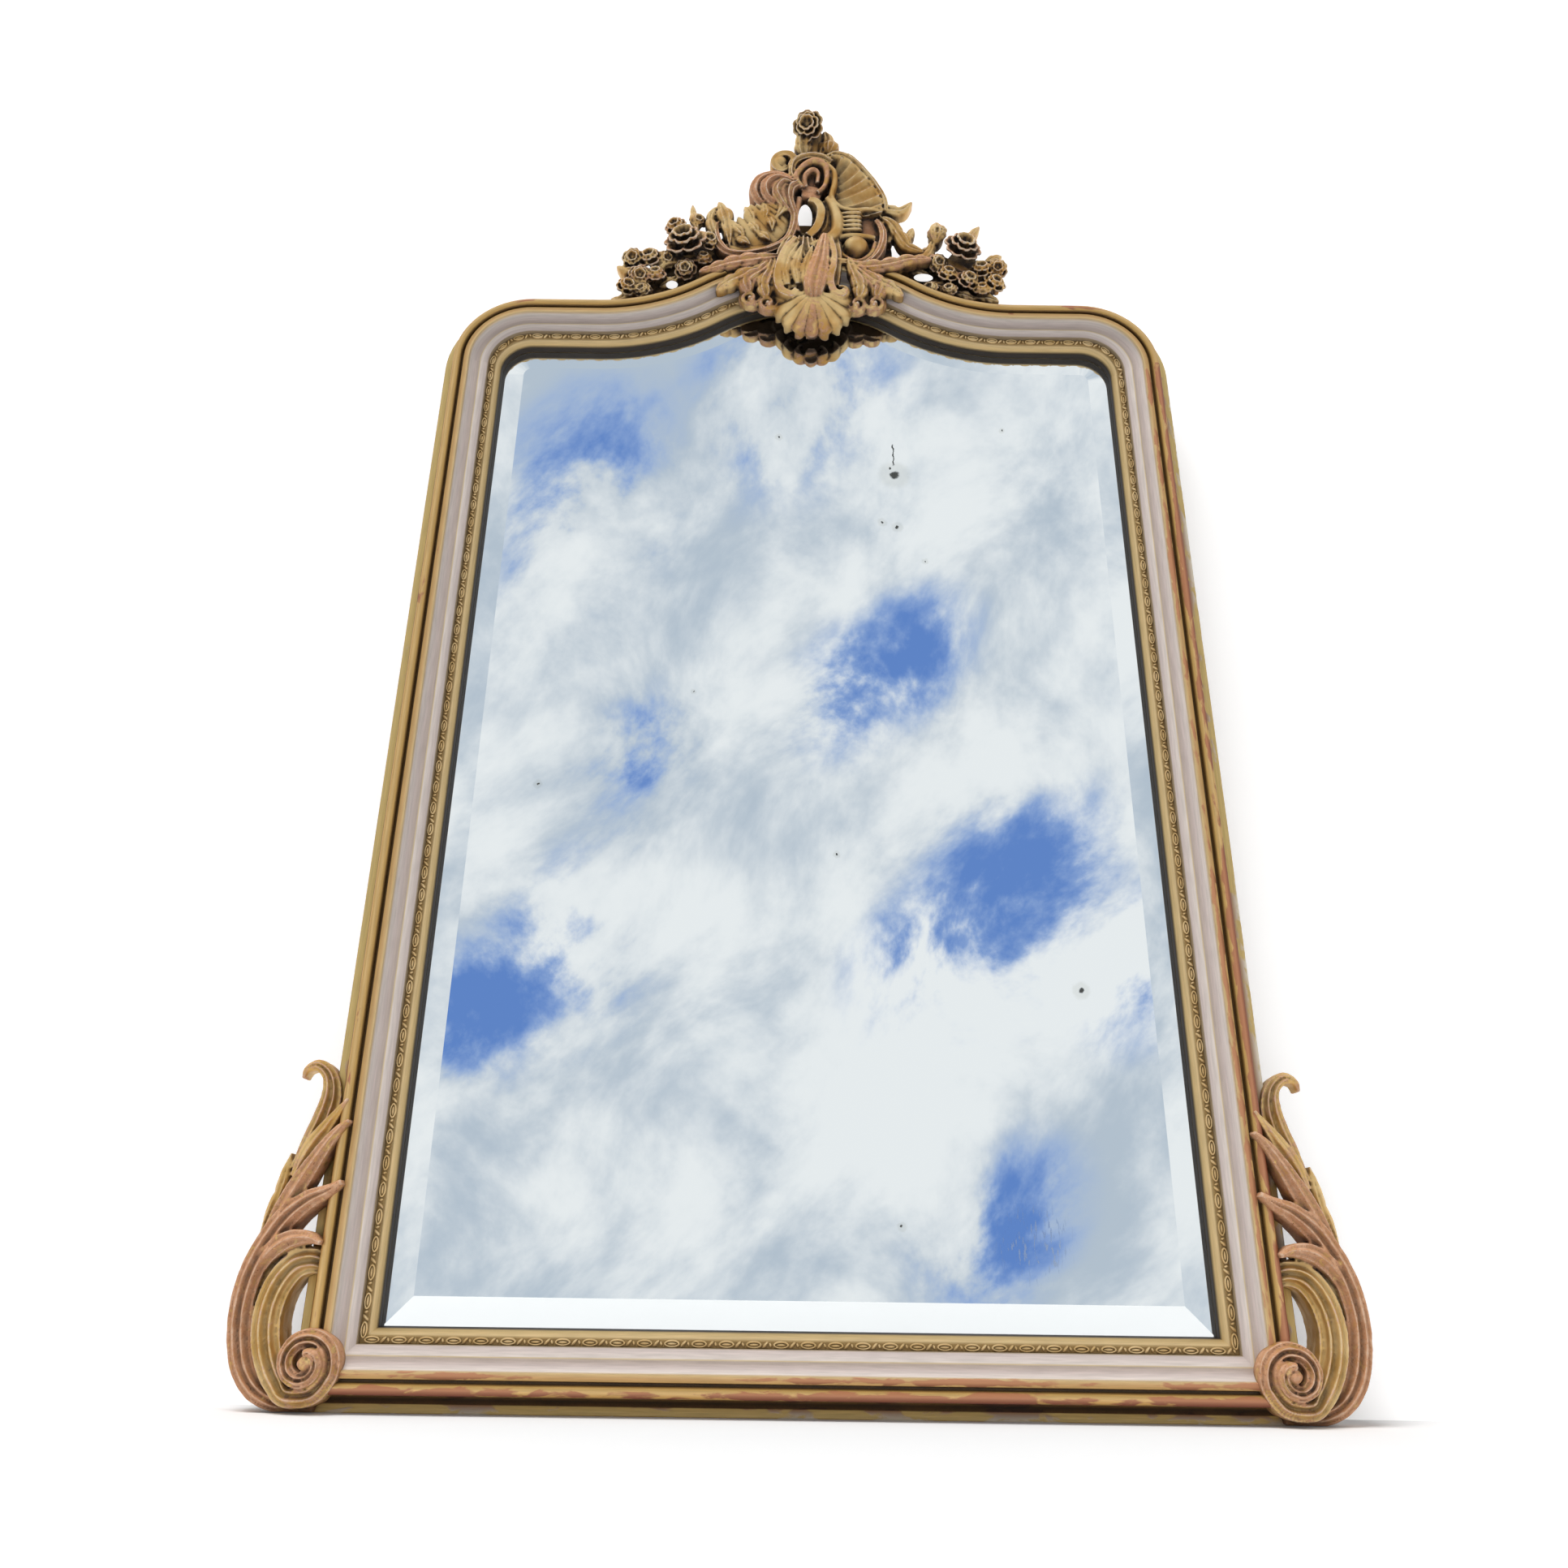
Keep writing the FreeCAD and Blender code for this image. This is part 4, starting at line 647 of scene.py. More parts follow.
# %% Bands, leaves and fans
def band(rows, flutes=0, deep=0.35, tone=0.3, back=7.0, beads=0.0, count=60):
    """A band along (x, z, v, width, height) rows, round or with gouged flutes."""
    rows = smooth(drawn(rows), count)
    across, outward = spine_frame(rows[:, :3])
    a = np.linspace(-1, 1, max(11, 8 * flutes + 5))
    profile = np.sqrt(np.clip(1 - a**2, 0, 1)) ** (1.0 if flutes == 0 else 0.45)
    if flutes:
        profile = profile * (1 - deep * np.abs(np.sin(math.pi * flutes * (a + 1) / 2)) ** 1.3)
    length = np.concatenate([[0], np.cumsum(np.linalg.norm(np.diff(rows[:, :3], axis=0), axis=1))])
    swell = 1 - 0.35 * (np.abs(np.cos(math.pi * length / beads)) ** 3 if beads else 0 * length)
    width = np.maximum(rows[:, 3], 0.6)[:, None, None] / 2
    height = (np.maximum(rows[:, 4], 0.4) * swell)[:, None, None]
    centre = rows[:, None, :3]
    front = (centre + across[:, None] * width * a[None, :, None]
             + outward[:, None] * height * profile[None, :, None])
    behind = centre + across[:, None] * width * 0.94 * a[None, :, None]
    behind = behind - np.array([0, 0, 1.0]) * back
    return shell(front, behind, tone)


def leaf(rows, lobes=5, cut=0.34, fold=0.3, slant=0.12, cup=0.0, tone=0.3, back=6.0, count=72):
    """An acanthus leaf: a folded midrib, slanting veins and a lobed edge."""
    rows = smooth(drawn(rows), count)
    across, outward = spine_frame(rows[:, :3])
    t = np.linspace(0, 1, count)
    a = np.linspace(-1, 1, 23)
    lobe = np.abs(np.sin(math.pi * lobes * t)) ** 0.6
    edge = 1 - cut * (1 - lobe) * (t > 0.5 / lobes)
    spot = np.clip(t[:, None] + slant * np.abs(a[None, :]) * (1 - t[:, None]), 0, 1)

    def read(column):
        return np.interp(spot.ravel(), t, column).reshape(spot.shape)

    centre = np.stack([read(rows[:, k]) for k in range(3)], -1)
    side = np.stack([read(across[:, k]) for k in range(3)], -1)
    out = np.stack([read(outward[:, k]) for k in range(3)], -1)
    width = np.interp(t, t, np.maximum(rows[:, 3], 1.0))[:, None] * edge[:, None] / 2
    valley = (1 - lobe)[:, None] * np.abs(a[None, :]) ** 0.8
    vein = np.exp(-(a[None, :] / 0.13) ** 2)
    crown = (1 - np.abs(a[None, :]) ** 2.2) + cup * a[None, :] ** 2
    ripple = 0.12 * np.cos(math.pi * 5 * a[None, :])
    height = read(np.maximum(rows[:, 4], 0.5)) * (crown - fold * vein - 0.45 * valley + ripple)
    front = centre + side * (a[None, :] * width)[..., None] + out * height[..., None]
    behind = centre + side * (a[None, :] * width * 0.9)[..., None] - np.array([0, 0, 1.0]) * back
    behind[..., 2] = np.minimum(behind[..., 2], front[..., 2] - 2.5)
    return shell(front, behind, tone)


def sprig(rows, tone, back=12):
    """A small pointed leaf of two lobes."""
    return leaf(rows, 2, 0.2, 0.4, 0.2, 0.4, tone, back)


def fan(inner, outer, ribs, relief=3.0, dish=0.0, scallop=0.06, hollow=True, tone=0.15, back=6.0):
    """A shell: rays from an inner edge to a scalloped outer one, hollow or round between."""
    count = max(ribs * 9 + 1, 30)
    inner = smooth(drawn(inner), count)[:, None, :3]
    outer = smooth(drawn(outer), count)[:, None, :3]
    s = np.linspace(0, 1, count)[:, None]
    r = np.linspace(0, 1, 16)[None, :]
    wave = np.abs(np.sin(math.pi * ribs * s))
    ridge = 1 - wave if hollow else wave ** 0.7
    reach = (r * (1 + scallop * ((wave ** 0.7) - 0.6)))[..., None]
    front = inner + (outer - inner) * reach
    lift = relief * ridge * np.sqrt(r) * 1.5 - dish * 4 * r * (1 - r)
    front[..., 2] += lift
    behind = (inner + (outer - inner) * reach * 0.97).copy()
    behind[..., 2] = np.minimum(behind[..., 2] - back, front[..., 2] - 2.5)
    return shell(front, behind, tone)


print("tools: band, leaf, sprig and fan")

# %% [markdown]
# A rose is three rings of cupped petals round a button, each with its edge turned back. A
# snail, the end of a scroll, is a gouged band that winds in on a spiral to a round eye
# and stands higher as it goes. A bud is an egg split by grooves.

# %% Roses, snails and buds
def petal(x, z, v, angle, reach, spread, lift, tone):
    """One cupped petal of a flower centred at a true (x, z, v)."""
    r = np.linspace(0.06, 1, 9)[:, None]
    w = np.linspace(-1, 1, 11)[None, :]
    half = spread * np.sin(math.pi * np.clip(r * 0.62 + 0.14, 0, 1))
    turn = angle + w * half * (0.4 + 0.6 * r) * 1.25
    far = reach * (r - 0.10 * r**3 * np.exp(-(w / 0.28) ** 2) - 0.16 * r**2 * np.abs(w) ** 3)
    height = lift * (0.25 + 1.25 * r**1.3 - 0.55 * r**6) - 0.36 * reach * (1 - w**2) * r * (1 - r) * 2
    front = np.stack([x + far * np.cos(turn), z + far * np.sin(turn), v + height + 0 * w], -1)
    behind = front - np.array([0, 0, 3.2])
    return shell(front, behind, tone)


def bud(rows, tone=0.25, grooves=0, back=5.0):
    """An egg between the first and the last of two drawn rows, as wide as the first."""
    (x0, z0, v0, width, height), (x1, z1, v1) = rows[0], rows[1][:3]
    t = np.linspace(0, 1, 9)
    bulge = np.sin(np.clip(t, 0.03, 0.97) * math.pi) ** 0.6
    stations = np.stack([x0 + (x1 - x0) * t, z0 + (z1 - z0) * t, v0 + (v1 - v0) * t,
                         width * bulge, height * bulge], 1)
    return band(stations, grooves, 0.3, tone, back, count=26)


def tilted(shells, centre, lean, towards):
    """The shells leant over about a centre, by lean, towards an angle on the sheet."""
    axis = Vector((-math.sin(towards), math.cos(towards), 0))
    turn = np.array(Matrix.Rotation(lean, 3, axis))
    return [((points - centre) @ turn.T + centre, faces, tone) for points, faces, tone in shells]


def rose(x, z, v, radius, tone=0.5, petals=5, turn=0.3, lean=0.3):
    """An open rose, drawn at (x, z), standing to v at its petals' feet and leaning outwards."""
    x, z, v = drawn([(x, z, v)])[0]
    shells = []
    for tier, (share, lift, offset) in enumerate(((1.0, 0.42, 0.0), (0.74, 0.62, 0.5), (0.5, 0.74, 0.2))):
        for n in range(petals):
            angle = turn + 2 * math.pi * (n + offset) / petals
            shells.append(petal(x, z, v + tier * 0.08 * radius, angle, radius * share,
                                math.pi / petals * 1.05, radius * lift, tone * (1.2 - 0.3 * tier)))
    t = np.linspace(0, 1, 9)[:, None]
    a = np.linspace(0, 2 * math.pi, 15)[None, :]
    ring = radius * 0.2 * np.sin(t * math.pi / 2)
    front = np.stack([x + ring * np.cos(a), z + ring * np.sin(a),
                      v + radius * (0.42 + 0.22 * np.cos(t * math.pi / 2)) + 0 * a], -1)
    behind = front.copy()
    behind[..., 2] = v - 4
    shells.append(shell(front, behind, tone * 0.4))
    return tilted(shells, (x, z, v), lean, turn * 7)


def snail(x, z, v, radius, start, turns, way, width=0.42, rise=8.0, tone=0.6, back=14.0):
    """A scroll's end: a gouged band winding in to its eye; start is its first angle."""
    shares = np.linspace(0, 1, 20)
    angles = start + way * turns * 2 * math.pi * shares
    reach = radius * (1 - width / 2) * (1 - 0.80 * shares)
    rows = np.stack([x + reach * np.cos(angles), z + reach * np.sin(angles), v + rise * shares,
                     radius * width * (1 - 0.45 * shares), radius * 0.30 * (1 - 0.3 * shares)], 1)
    disc_rows = [(x, z - radius * 0.82, v - 5, 4, 4), (x, z - radius * 0.5, v - 3, radius * 1.4, 4),
                 (x, z, v - 2, radius * 1.7, 4), (x, z + radius * 0.5, v - 3, radius * 1.4, 4),
                 (x, z + radius * 0.82, v - 5, 4, 4)]
    eye = [(x, z - radius * 0.18, v + rise, radius * 0.34, radius * 0.24),
           (x, z + radius * 0.18, v + rise)]
    return [band(rows, 2, 0.4, tone, back, count=90), band(disc_rows, 0, 0, tone, back),
            bud(eye, tone, back=rise)]


def mirrored(shells):
    """The same shells on the other side of the middle."""
    return [(points * (-1, 1, 1), [face[::-1] for face in faces], tone) for points, faces, tone in shells]


print("tools: rose, snail and bud")

# %% [markdown]
# ## From shells to one skin
# The shells of one carving overlap wherever the real one grows out of itself. A voxel
# remesh at a little over a millimetre drops what is inside and leaves one closed skin;
# a light smoothing then rounds the arrises as gesso does, and a fine unevenness keeps the
# marks of the hand. Each shell carries a tone, how much clay shows there, and the new
# skin takes it from whichever shell lay nearest.

# %% Melting shells together
VOXEL_MM = 1.25
HAND_MM, HAND_EVERY_MM = 0.35, 9.0  # how deep the hand's unevenness is, and how far apart
FOOT_MM = 0.8  # no carving reaches lower than this above the floor
GROUND_V = 9.0  # the face of the planks that the carving grows from
AWL_SIDES, AWL_BACK, AWL_FRONT = 24, -60.0, 90.0


def wood_of(node):
    """One of the frame's own parts as a shell to carve upon, its face cut back to the ground."""
    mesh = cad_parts[node].data
    points = np.array([vertex.co for vertex in mesh.vertices]) / MM
    rows = np.stack([points[:, 0], points[:, 2], np.minimum(FACE_Y - points[:, 1], GROUND_V)], 1)
    return rows, [tuple(face.vertices) for face in mesh.polygons], 0.1


def pierced(piece, holes):
    """Cuts each (x, z, half width, half height) of the sheet right through, along the line of sight."""
    turns = np.linspace(0, 2 * math.pi, AWL_SIDES, endpoint=False)
    sides = [(k, (k + 1) % AWL_SIDES, (k + 1) % AWL_SIDES + AWL_SIDES, k + AWL_SIDES)
             for k in range(AWL_SIDES)]
    ends = [tuple(range(AWL_SIDES - 1, -1, -1)), tuple(range(AWL_SIDES, 2 * AWL_SIDES))]
    for x, z, half_width, half_height in holes:
        rings = [drawn(np.stack([x + half_width * np.cos(turns), z + half_height * np.sin(turns),
                                 v + 0 * turns], 1)) for v in (AWL_BACK, AWL_FRONT)]
        awl = mesh_object("awl", np.concatenate(rings), sides + ends, CREST_GILDING)
        cut = piece.modifiers.new("hole", "BOOLEAN")
        cut.operation, cut.solver, cut.object = "DIFFERENCE", "FAST", awl
        fixed = bpy.data.meshes.new_from_object(piece.evaluated_get(bpy.context.evaluated_depsgraph_get()))
        piece.modifiers.clear()
        piece.data = fixed
        bpy.data.objects.remove(awl)


def melted(name, shells, material, voxel=VOXEL_MM, nearest_v=-1e9, holes=()):
    """One skin around all the shells, with the tone of the nearest."""
    points, faces, tones = [], [], []
    for shell_points, shell_faces, tone in shells:
        start = sum(len(p) for p in points)
        points.append(shell_points)
        tones.append(np.full(len(shell_points), tone))
        faces += [tuple(start + k for k in face) for face in shell_faces]
    points, tones = np.concatenate(points), np.concatenate(tones)
    points[:, 1] = np.maximum(points[:, 1], FOOT_MM)
    points[:, 2] = np.maximum(points[:, 2], nearest_v)
    piece = mesh_object(name, points, faces, material)
    melt = piece.modifiers.new("melt", "REMESH")
    melt.mode, melt.voxel_size = "VOXEL", voxel * MM
    soften = piece.modifiers.new("gesso", "SMOOTH")
    soften.factor, soften.iterations = 0.5, 3
    mesh = bpy.data.meshes.new_from_object(piece.evaluated_get(bpy.context.evaluated_depsgraph_get()))
    piece.modifiers.clear()
    piece.data = mesh
    pierced(piece, holes)
    mesh = piece.data
    mesh.name = name
    tree = kdtree.KDTree(len(points))
    for number, point in enumerate(place(points)):
        tree.insert(point, number)
    tree.balance()
    skin = np.empty(len(mesh.vertices) * 3)
    mesh.vertices.foreach_get("co", skin)
    skin = skin.reshape(-1, 3)
    owner = [tree.find(point)[1] for point in skin]
    ways = np.empty(len(mesh.vertices) * 3)
    mesh.vertices.foreach_get("normal", ways)
    push = np.array([noise.noise(Vector(point) / (HAND_EVERY_MM * MM)) for point in skin])
    mesh.vertices.foreach_set("co", (skin + ways.reshape(-1, 3) * push[:, None] * HAND_MM * MM).ravel())
    mesh.update()
    mesh.shade_smooth()
    point_attribute(piece, "tone", "FLOAT", tones[owner])
    print("%s: %d shells, %d faces" % (name, len(shells), len(mesh.polygons)))
    return piece


# %% [markdown]
# ## The crest
# The crest is a plank that stands on the head of the frame, carved in the lopsided way of
# its century: a ruffled ear on the right, a curl on the left, a comb of waves below it,
# and in the middle a shield whose shell hangs over the moulding. Each row below is one
# place on a spine: across, up, height above the carcass, width, and how proud it stands.

# %% The ear and the top of the crest
crest_top = [
    fan([(28, 1584, 22), (34, 1560, 22), (30, 1535, 22), (22, 1515, 22), (30, 1497, 22), (44, 1490, 22)],
        [(34, 1606, 31), (58, 1596, 34), (78, 1572, 34), (92, 1548, 34), (104, 1520, 33), (104, 1496, 30)],
        8, 3.6, 5.5, 0.05, True, 0.05, 12),
    band([(24, 1598, 26, 8, 7), (40, 1606, 28, 10, 9), (60, 1598, 30, 11, 9), (80, 1572, 30, 11, 9),
          (95, 1546, 30, 11, 9), (106, 1520, 29, 11, 8), (108, 1500, 26, 8, 6)], 2, 0.5, 0.1, 14),
    band([(28, 1588, 28, 5, 5), (38, 1570, 30, 8, 7), (38, 1548, 30, 9, 7), (34, 1524, 29, 8, 7),
          (44, 1506, 28, 8, 6), (62, 1500, 27, 7, 5), (86, 1502, 27, 6, 5), (104, 1498, 27, 5, 4)],
         0, 0, 0.05, 12),
    leaf([(-4, 1592, 16, 18, 8), (-6, 1612, 19, 27, 9), (-6, 1632, 24, 25, 9), (-2, 1652, 29, 16, 8)],
         2, 0.14, 0.45, 0.2, 0.3, 0.0, 15),
    leaf([(16, 1596, 16, 14, 7), (24, 1616, 18, 22, 8), (28, 1632, 18, 20, 8), (24, 1650, 18, 8, 5)],
         2, 0.16, 0.4, 0.2, 0.3, 0.0, 14),
    band([(6, 1588, 14, 30, 6), (4, 1612, 16, 36, 6), (4, 1636, 20, 34, 6), (4, 1658, 24, 28, 6),
          (5, 1668, 25, 16, 4)], 0, 0, 0.1, 14),
    bud([(30, 1606, 22, 24, 12), (36, 1632, 20)], 0.2, 3, 14),
    band([(-16, 1592, 20, 13, 8), (-26, 1604, 22, 12, 8), (-38, 1604, 22, 11, 8), (-47, 1594, 21, 11, 8),
          (-46, 1580, 20, 12, 8), (-36, 1574, 20, 12, 7), (-28, 1582, 20, 7, 5)], 1, 0.4, 0.15, 13),
    bud([(-38, 1580, 20, 18, 9), (-37, 1599, 20)], 0.2, 0, 13),
    band([(-14, 1596, 20, 18, 8), (-20, 1582, 22, 17, 9), (-18, 1566, 22, 15, 9), (-12, 1552, 22, 14, 8)],
         2, 0.4, 0.35, 14),
    band([(-14, 1544, 24, 6, 5), (-22, 1566, 26, 9, 8), (-18, 1590, 27, 11, 9), (0, 1602, 28, 12, 9),
          (20, 1600, 28, 12, 9), (34, 1590, 27, 10, 8)], 2, 0.5, 0.3, 12),
    band([(-8, 1540, 24, 8, 6), (-16, 1560, 26, 10, 8), (-6, 1580, 27, 11, 9), (10, 1590, 28, 12, 9),
          (24, 1582, 28, 11, 9), (28, 1562, 27, 10, 8), (24, 1542, 26, 9, 7), (14, 1532, 25, 8, 5)],
         0, 0, 0.55, 12),
    band([(-2, 1542, 24, 7, 5), (-4, 1560, 26, 9, 7), (6, 1574, 27, 9, 7), (15, 1568, 26, 8, 6),
          (14, 1550, 25, 7, 5)], 0, 0, 0.6, 11),
    band([(2, 1540, 18, 26, 4), (8, 1560, 18, 38, 4), (10, 1580, 18, 30, 4)], 0, 0, 0.9, 18),
]
crest_top += rose(2, 1660, 32, 24, 0.25, 5, 0.6, 0.5) + rose(6, 1672, 31, 14, 0.2, 4, 0.2, 0.4)
print(len(crest_top), "shells at the top")

# %% The curl, the neck and the comb of waves
crest_left = [
    band([(-22, 1556, 24, 10, 8), (-44, 1562, 26, 16, 10), (-64, 1552, 26, 20, 12), (-72, 1532, 24, 20, 12),
          (-66, 1512, 22, 18, 10), (-54, 1504, 20, 10, 6)], 2, 0.35, 0.75, 16),
    band([(-20, 1550, 26, 10, 9), (-42, 1554, 28, 16, 13), (-56, 1542, 28, 20, 13), (-56, 1524, 26, 18, 12),
          (-46, 1508, 24, 14, 9)], 2, 0.35, 0.8, 16),
    band([(-18, 1544, 26, 10, 9), (-34, 1546, 29, 15, 13), (-42, 1530, 29, 17, 13), (-36, 1512, 27, 15, 11),
          (-26, 1496, 24, 12, 8)], 2, 0.4, 0.55, 16),
    band([(-14, 1548, 25, 12, 9), (-24, 1538, 28, 15, 12), (-26, 1520, 28, 14, 11), (-22, 1502, 26, 13, 9),
          (-18, 1488, 24, 12, 8), (-19, 1468, 24, 12, 8), (-26, 1446, 24, 12, 8), (-42, 1430, 24, 13, 8),
          (-66, 1419, 24, 13, 9), (-90, 1415, 24, 13, 9), (-110, 1420, 24, 13, 9), (-122, 1436, 23, 13, 9),
          (-126, 1456, 22, 10, 7), (-124, 1474, 21, 4, 4)], 2, 0.45, 0.6, 15),
    band([(-12, 1520, 20, 12, 7), (-14, 1500, 20, 10, 7), (-14, 1476, 20, 9, 7), (-14, 1456, 20, 12, 7)],
         0, 0, 0.7, 15),
    band([(-8, 1532, 20, 22, 6), (6, 1530, 20, 28, 6), (20, 1524, 20, 20, 5)], 1, 0.3, 0.8, 15),
    band([(2, 1518, 22, 10, 6), (12, 1514, 23, 12, 7), (19, 1500, 24, 13, 8), (18, 1480, 24, 14, 8),
          (12, 1462, 24, 14, 8), (2, 1450, 24, 14, 7)], 1, 0.3, 0.1, 15),
    band([(28, 1520, 24, 9, 7), (36, 1504, 26, 13, 9), (42, 1482, 27, 17, 10), (40, 1458, 27, 18, 10),
          (28, 1442, 27, 18, 10), (12, 1432, 27, 16, 9), (0, 1428, 26, 10, 6)], 0, 0, 0.05, 16),
    band([(26, 1516, 20, 16, 5), (28, 1490, 20, 22, 5), (26, 1466, 20, 24, 5), (12, 1448, 20, 22, 5)],
         2, 0.5, 0.2, 15),
]
waves_inner = [(-24, 1508, 21), (-26, 1490, 21), (-25, 1470, 21), (-34, 1450, 21), (-56, 1434, 21),
               (-86, 1428, 21), (-108, 1432, 21)]
waves_outer = [(-34, 1522, 24), (-50, 1508, 26), (-64, 1506, 27), (-78, 1504, 27), (-90, 1484, 27),
               (-104, 1474, 26), (-116, 1452, 25)]
crest_left.append(fan(waves_inner, waves_outer, 9, 3.0, -1.5, 0.13, False, 0.12, 15))
for n, (x, z, lean, long) in enumerate([(-42, 1488, 70, 26), (-60, 1484, 95, 27), (-76, 1476, 112, 30),
                                        (-50, 1466, 105, 20), (-70, 1456, 118, 22), (-90, 1452, 128, 24),
                                        (-56, 1446, 140, 16), (-84, 1438, 150, 16)]):
    way = math.radians(lean)
    tip_x, tip_z = x + long * math.cos(way), z + long * math.sin(way)
    crest_left.append(leaf([(x - 8 * math.cos(way), z - 8 * math.sin(way), 25, 7, 4),
                            ((x + tip_x) / 2 + 3, (z + tip_z) / 2, 27, 15, 6), (tip_x, tip_z, 25, 3, 3)],
                           2, 0.2, 0.5, 0.25, 0.5, 0.05 + 0.05 * (n % 3), 8, 36))
crest_left += [
    leaf([(-106, 1428, 22, 10, 6), (-108, 1452, 23, 20, 8), (-112, 1480, 23, 24, 8),
          (-119, 1502, 22, 12, 6), (-124, 1512, 20, 3, 3)], 3, 0.2, 0.45, 0.2, 0.4, 0.15, 14),
    leaf([(-124, 1440, 21, 10, 5), (-132, 1462, 22, 16, 7), (-134, 1484, 21, 12, 6),
          (-128, 1502, 20, 4, 3)], 2, 0.2, 0.45, 0.2, 0.4, 0.2, 14),
    band([(-36, 1436, 20, 10, 4), (-60, 1428, 20, 12, 4), (-90, 1424, 20, 12, 4),
          (-112, 1430, 20, 10, 4)], 0, 0, 0.3, 15),
]
print(len(crest_left), "shells on the left of the crest")

# %% The comb, the right scroll and its cabochon
crest_right = [
    band([(36, 1452, 24, 10, 7), (34, 1432, 25, 11, 8), (38, 1412, 26, 11, 8), (52, 1398, 27, 11, 9),
          (70, 1396, 27, 12, 9), (88, 1406, 27, 12, 9), (100, 1426, 26, 12, 8), (105, 1450, 25, 11, 8),
          (102, 1470, 23, 10, 7), (96, 1482, 22, 8, 5)], 2, 0.45, 0.6, 15),
    band([(44, 1438, 22, 8, 5), (46, 1420, 23, 8, 6), (58, 1408, 24, 8, 6), (74, 1406, 24, 8, 6),
          (88, 1420, 23, 8, 6), (94, 1440, 22, 7, 5)], 0, 0, 0.5, 12),
    bud([(66, 1410, 22, 38, 17), (67, 1448, 22)], 0.35, 0, 12),
    band([(40, 1446, 24, 8, 6), (56, 1450, 25, 10, 7), (76, 1450, 25, 10, 7), (94, 1448, 24, 8, 5)],
         0, 0, 0.05, 12),
    band([(60, 1400, 14, 60, 5), (66, 1430, 14, 74, 5), (70, 1460, 14, 66, 5), (76, 1490, 14, 56, 5),
          (76, 1520, 14, 56, 5), (64, 1560, 14, 44, 5), (46, 1590, 14, 24, 5)], 0, 0, 0.9, 12),
    leaf([(98, 1502, 20, 14, 6), (114, 1499, 21, 20, 8), (132, 1500, 21, 14, 7), (146, 1516, 19, 4, 4)],
         2, 0.15, 0.4, 0.2, 0.4, 0.0, 13),
    leaf([(100, 1488, 22, 12, 6), (116, 1474, 23, 20, 8), (128, 1452, 23, 22, 8), (140, 1432, 22, 18, 7),
          (160, 1424, 20, 8, 4)], 3, 0.25, 0.45, 0.2, 0.4, 0.05, 13),
    sprig([(128, 1440, 20, 10, 5), (140, 1452, 21, 14, 6), (146, 1468, 19, 4, 3)], 0.05),
    band([(108, 1440, 18, 16, 6), (112, 1462, 18, 18, 6), (110, 1482, 18, 16, 6)], 1, 0.3, 0.3, 14),
]
COMB_FOOT, COMB_PITCH = 1462, 7.6
for n in range(5):
    z = COMB_FOOT + COMB_PITCH * n
    crest_right.append(band([(46, z - 1, 26, 5, 5), (58, z, 27, 6.2, 6), (70, z + 0.5, 26, 6.4, 6),
                             (75, z + 1, 24, 4, 3)], 0, 0, 0.05, 10, count=20))
print(len(crest_right), "shells on the right of the crest")

# %% The shield, the lower leaves and the drop shell
LAP_V = 41.5  # where the carving laps over the head's moulding
shield = [
    band([(-8, 1448, 26, 40, 6), (-10, 1424, 33, 62, 7), (-6, 1396, LAP_V, 76, 6), (-2, 1366, LAP_V, 74, 6),
          (2, 1344, LAP_V - 2, 60, 6), (6, 1328, LAP_V - 8, 40, 6)], 7, 0.75, 0.3, 18),
    band([(34, 1446, 24, 20, 6), (36, 1420, 33, 24, 6), (34, 1392, LAP_V, 26, 5), (32, 1362, LAP_V, 24, 5)],
         2, 0.5, 0.3, 18),
    band([(24, 1452, 32, 10, 7), (21, 1430, 42, 18, 9), (18, 1406, 48, 25, 9), (13, 1382, 50, 30, 9),
          (10, 1361, 50, 30, 9), (9, 1348, 48, 22, 8), (9, 1342, 46, 9, 4)], 3, 0.3, 0.62, 12),
    band([(-16, 1446, 32, 8, 7), (-30, 1424, 42, 10, 8), (-38, 1396, 48, 11, 8), (-40, 1372, 48, 12, 8),
          (-34, 1352, 46, 13, 8), (-20, 1345, 46, 12, 8), (-13, 1355, 47, 9, 6)], 1, 0.3, 0.35, 12),
    band([(32, 1446, 32, 8, 7), (37, 1420, 42, 9, 8), (36, 1394, 48, 10, 8), (32, 1372, 48, 11, 8),
          (36, 1352, 46, 12, 8), (48, 1346, 45, 11, 7), (52, 1356, 45, 8, 6)], 1, 0.3, 0.45, 12),
    leaf([(-10, 1440, 32, 10, 5), (-24, 1418, 44, 15, 5), (-30, 1390, 50, 14, 5), (-26, 1364, 50, 10, 4)],
         3, 0.1, 0.4, 0.2, 0.3, 0.1, 10),
    leaf([(-6, 1436, 34, 9, 5), (-12, 1414, 45, 14, 5), (-16, 1392, 50, 13, 5), (-12, 1366, 50, 8, 4)],
         3, 0.1, 0.4, 0.2, 0.3, 0.1, 10),
    leaf([(8, 1434, 36, 9, 5), (2, 1410, 46, 14, 5), (-3, 1388, 50, 13, 5), (-2, 1362, 49, 7, 4)],
         3, 0.1, 0.4, 0.2, 0.3, 0.15, 10),
    snail(-17, 1350, 44, 14, 1.2, 1.2, 1, 0.42, 5.0, 0.1, 12)[0],
    snail(47, 1351, 43, 14, 2.0, 1.2, -1, 0.42, 5.0, 0.15, 12)[0],
]
DROP_X, DROP_Z = 9, 1350
FIRST_RAY, RAY_STEP, RAY_STRETCH = 196, 18, 1.28
RAY = [
    # (share of the ray's reach, height from the lap, width, height)
    (0.16, 3, 8, 6), (0.5, 0, 14, 9), (0.84, -9, 19, 11), (1.0, -17, 18, 11), (1.07, -23, 11, 7),
]
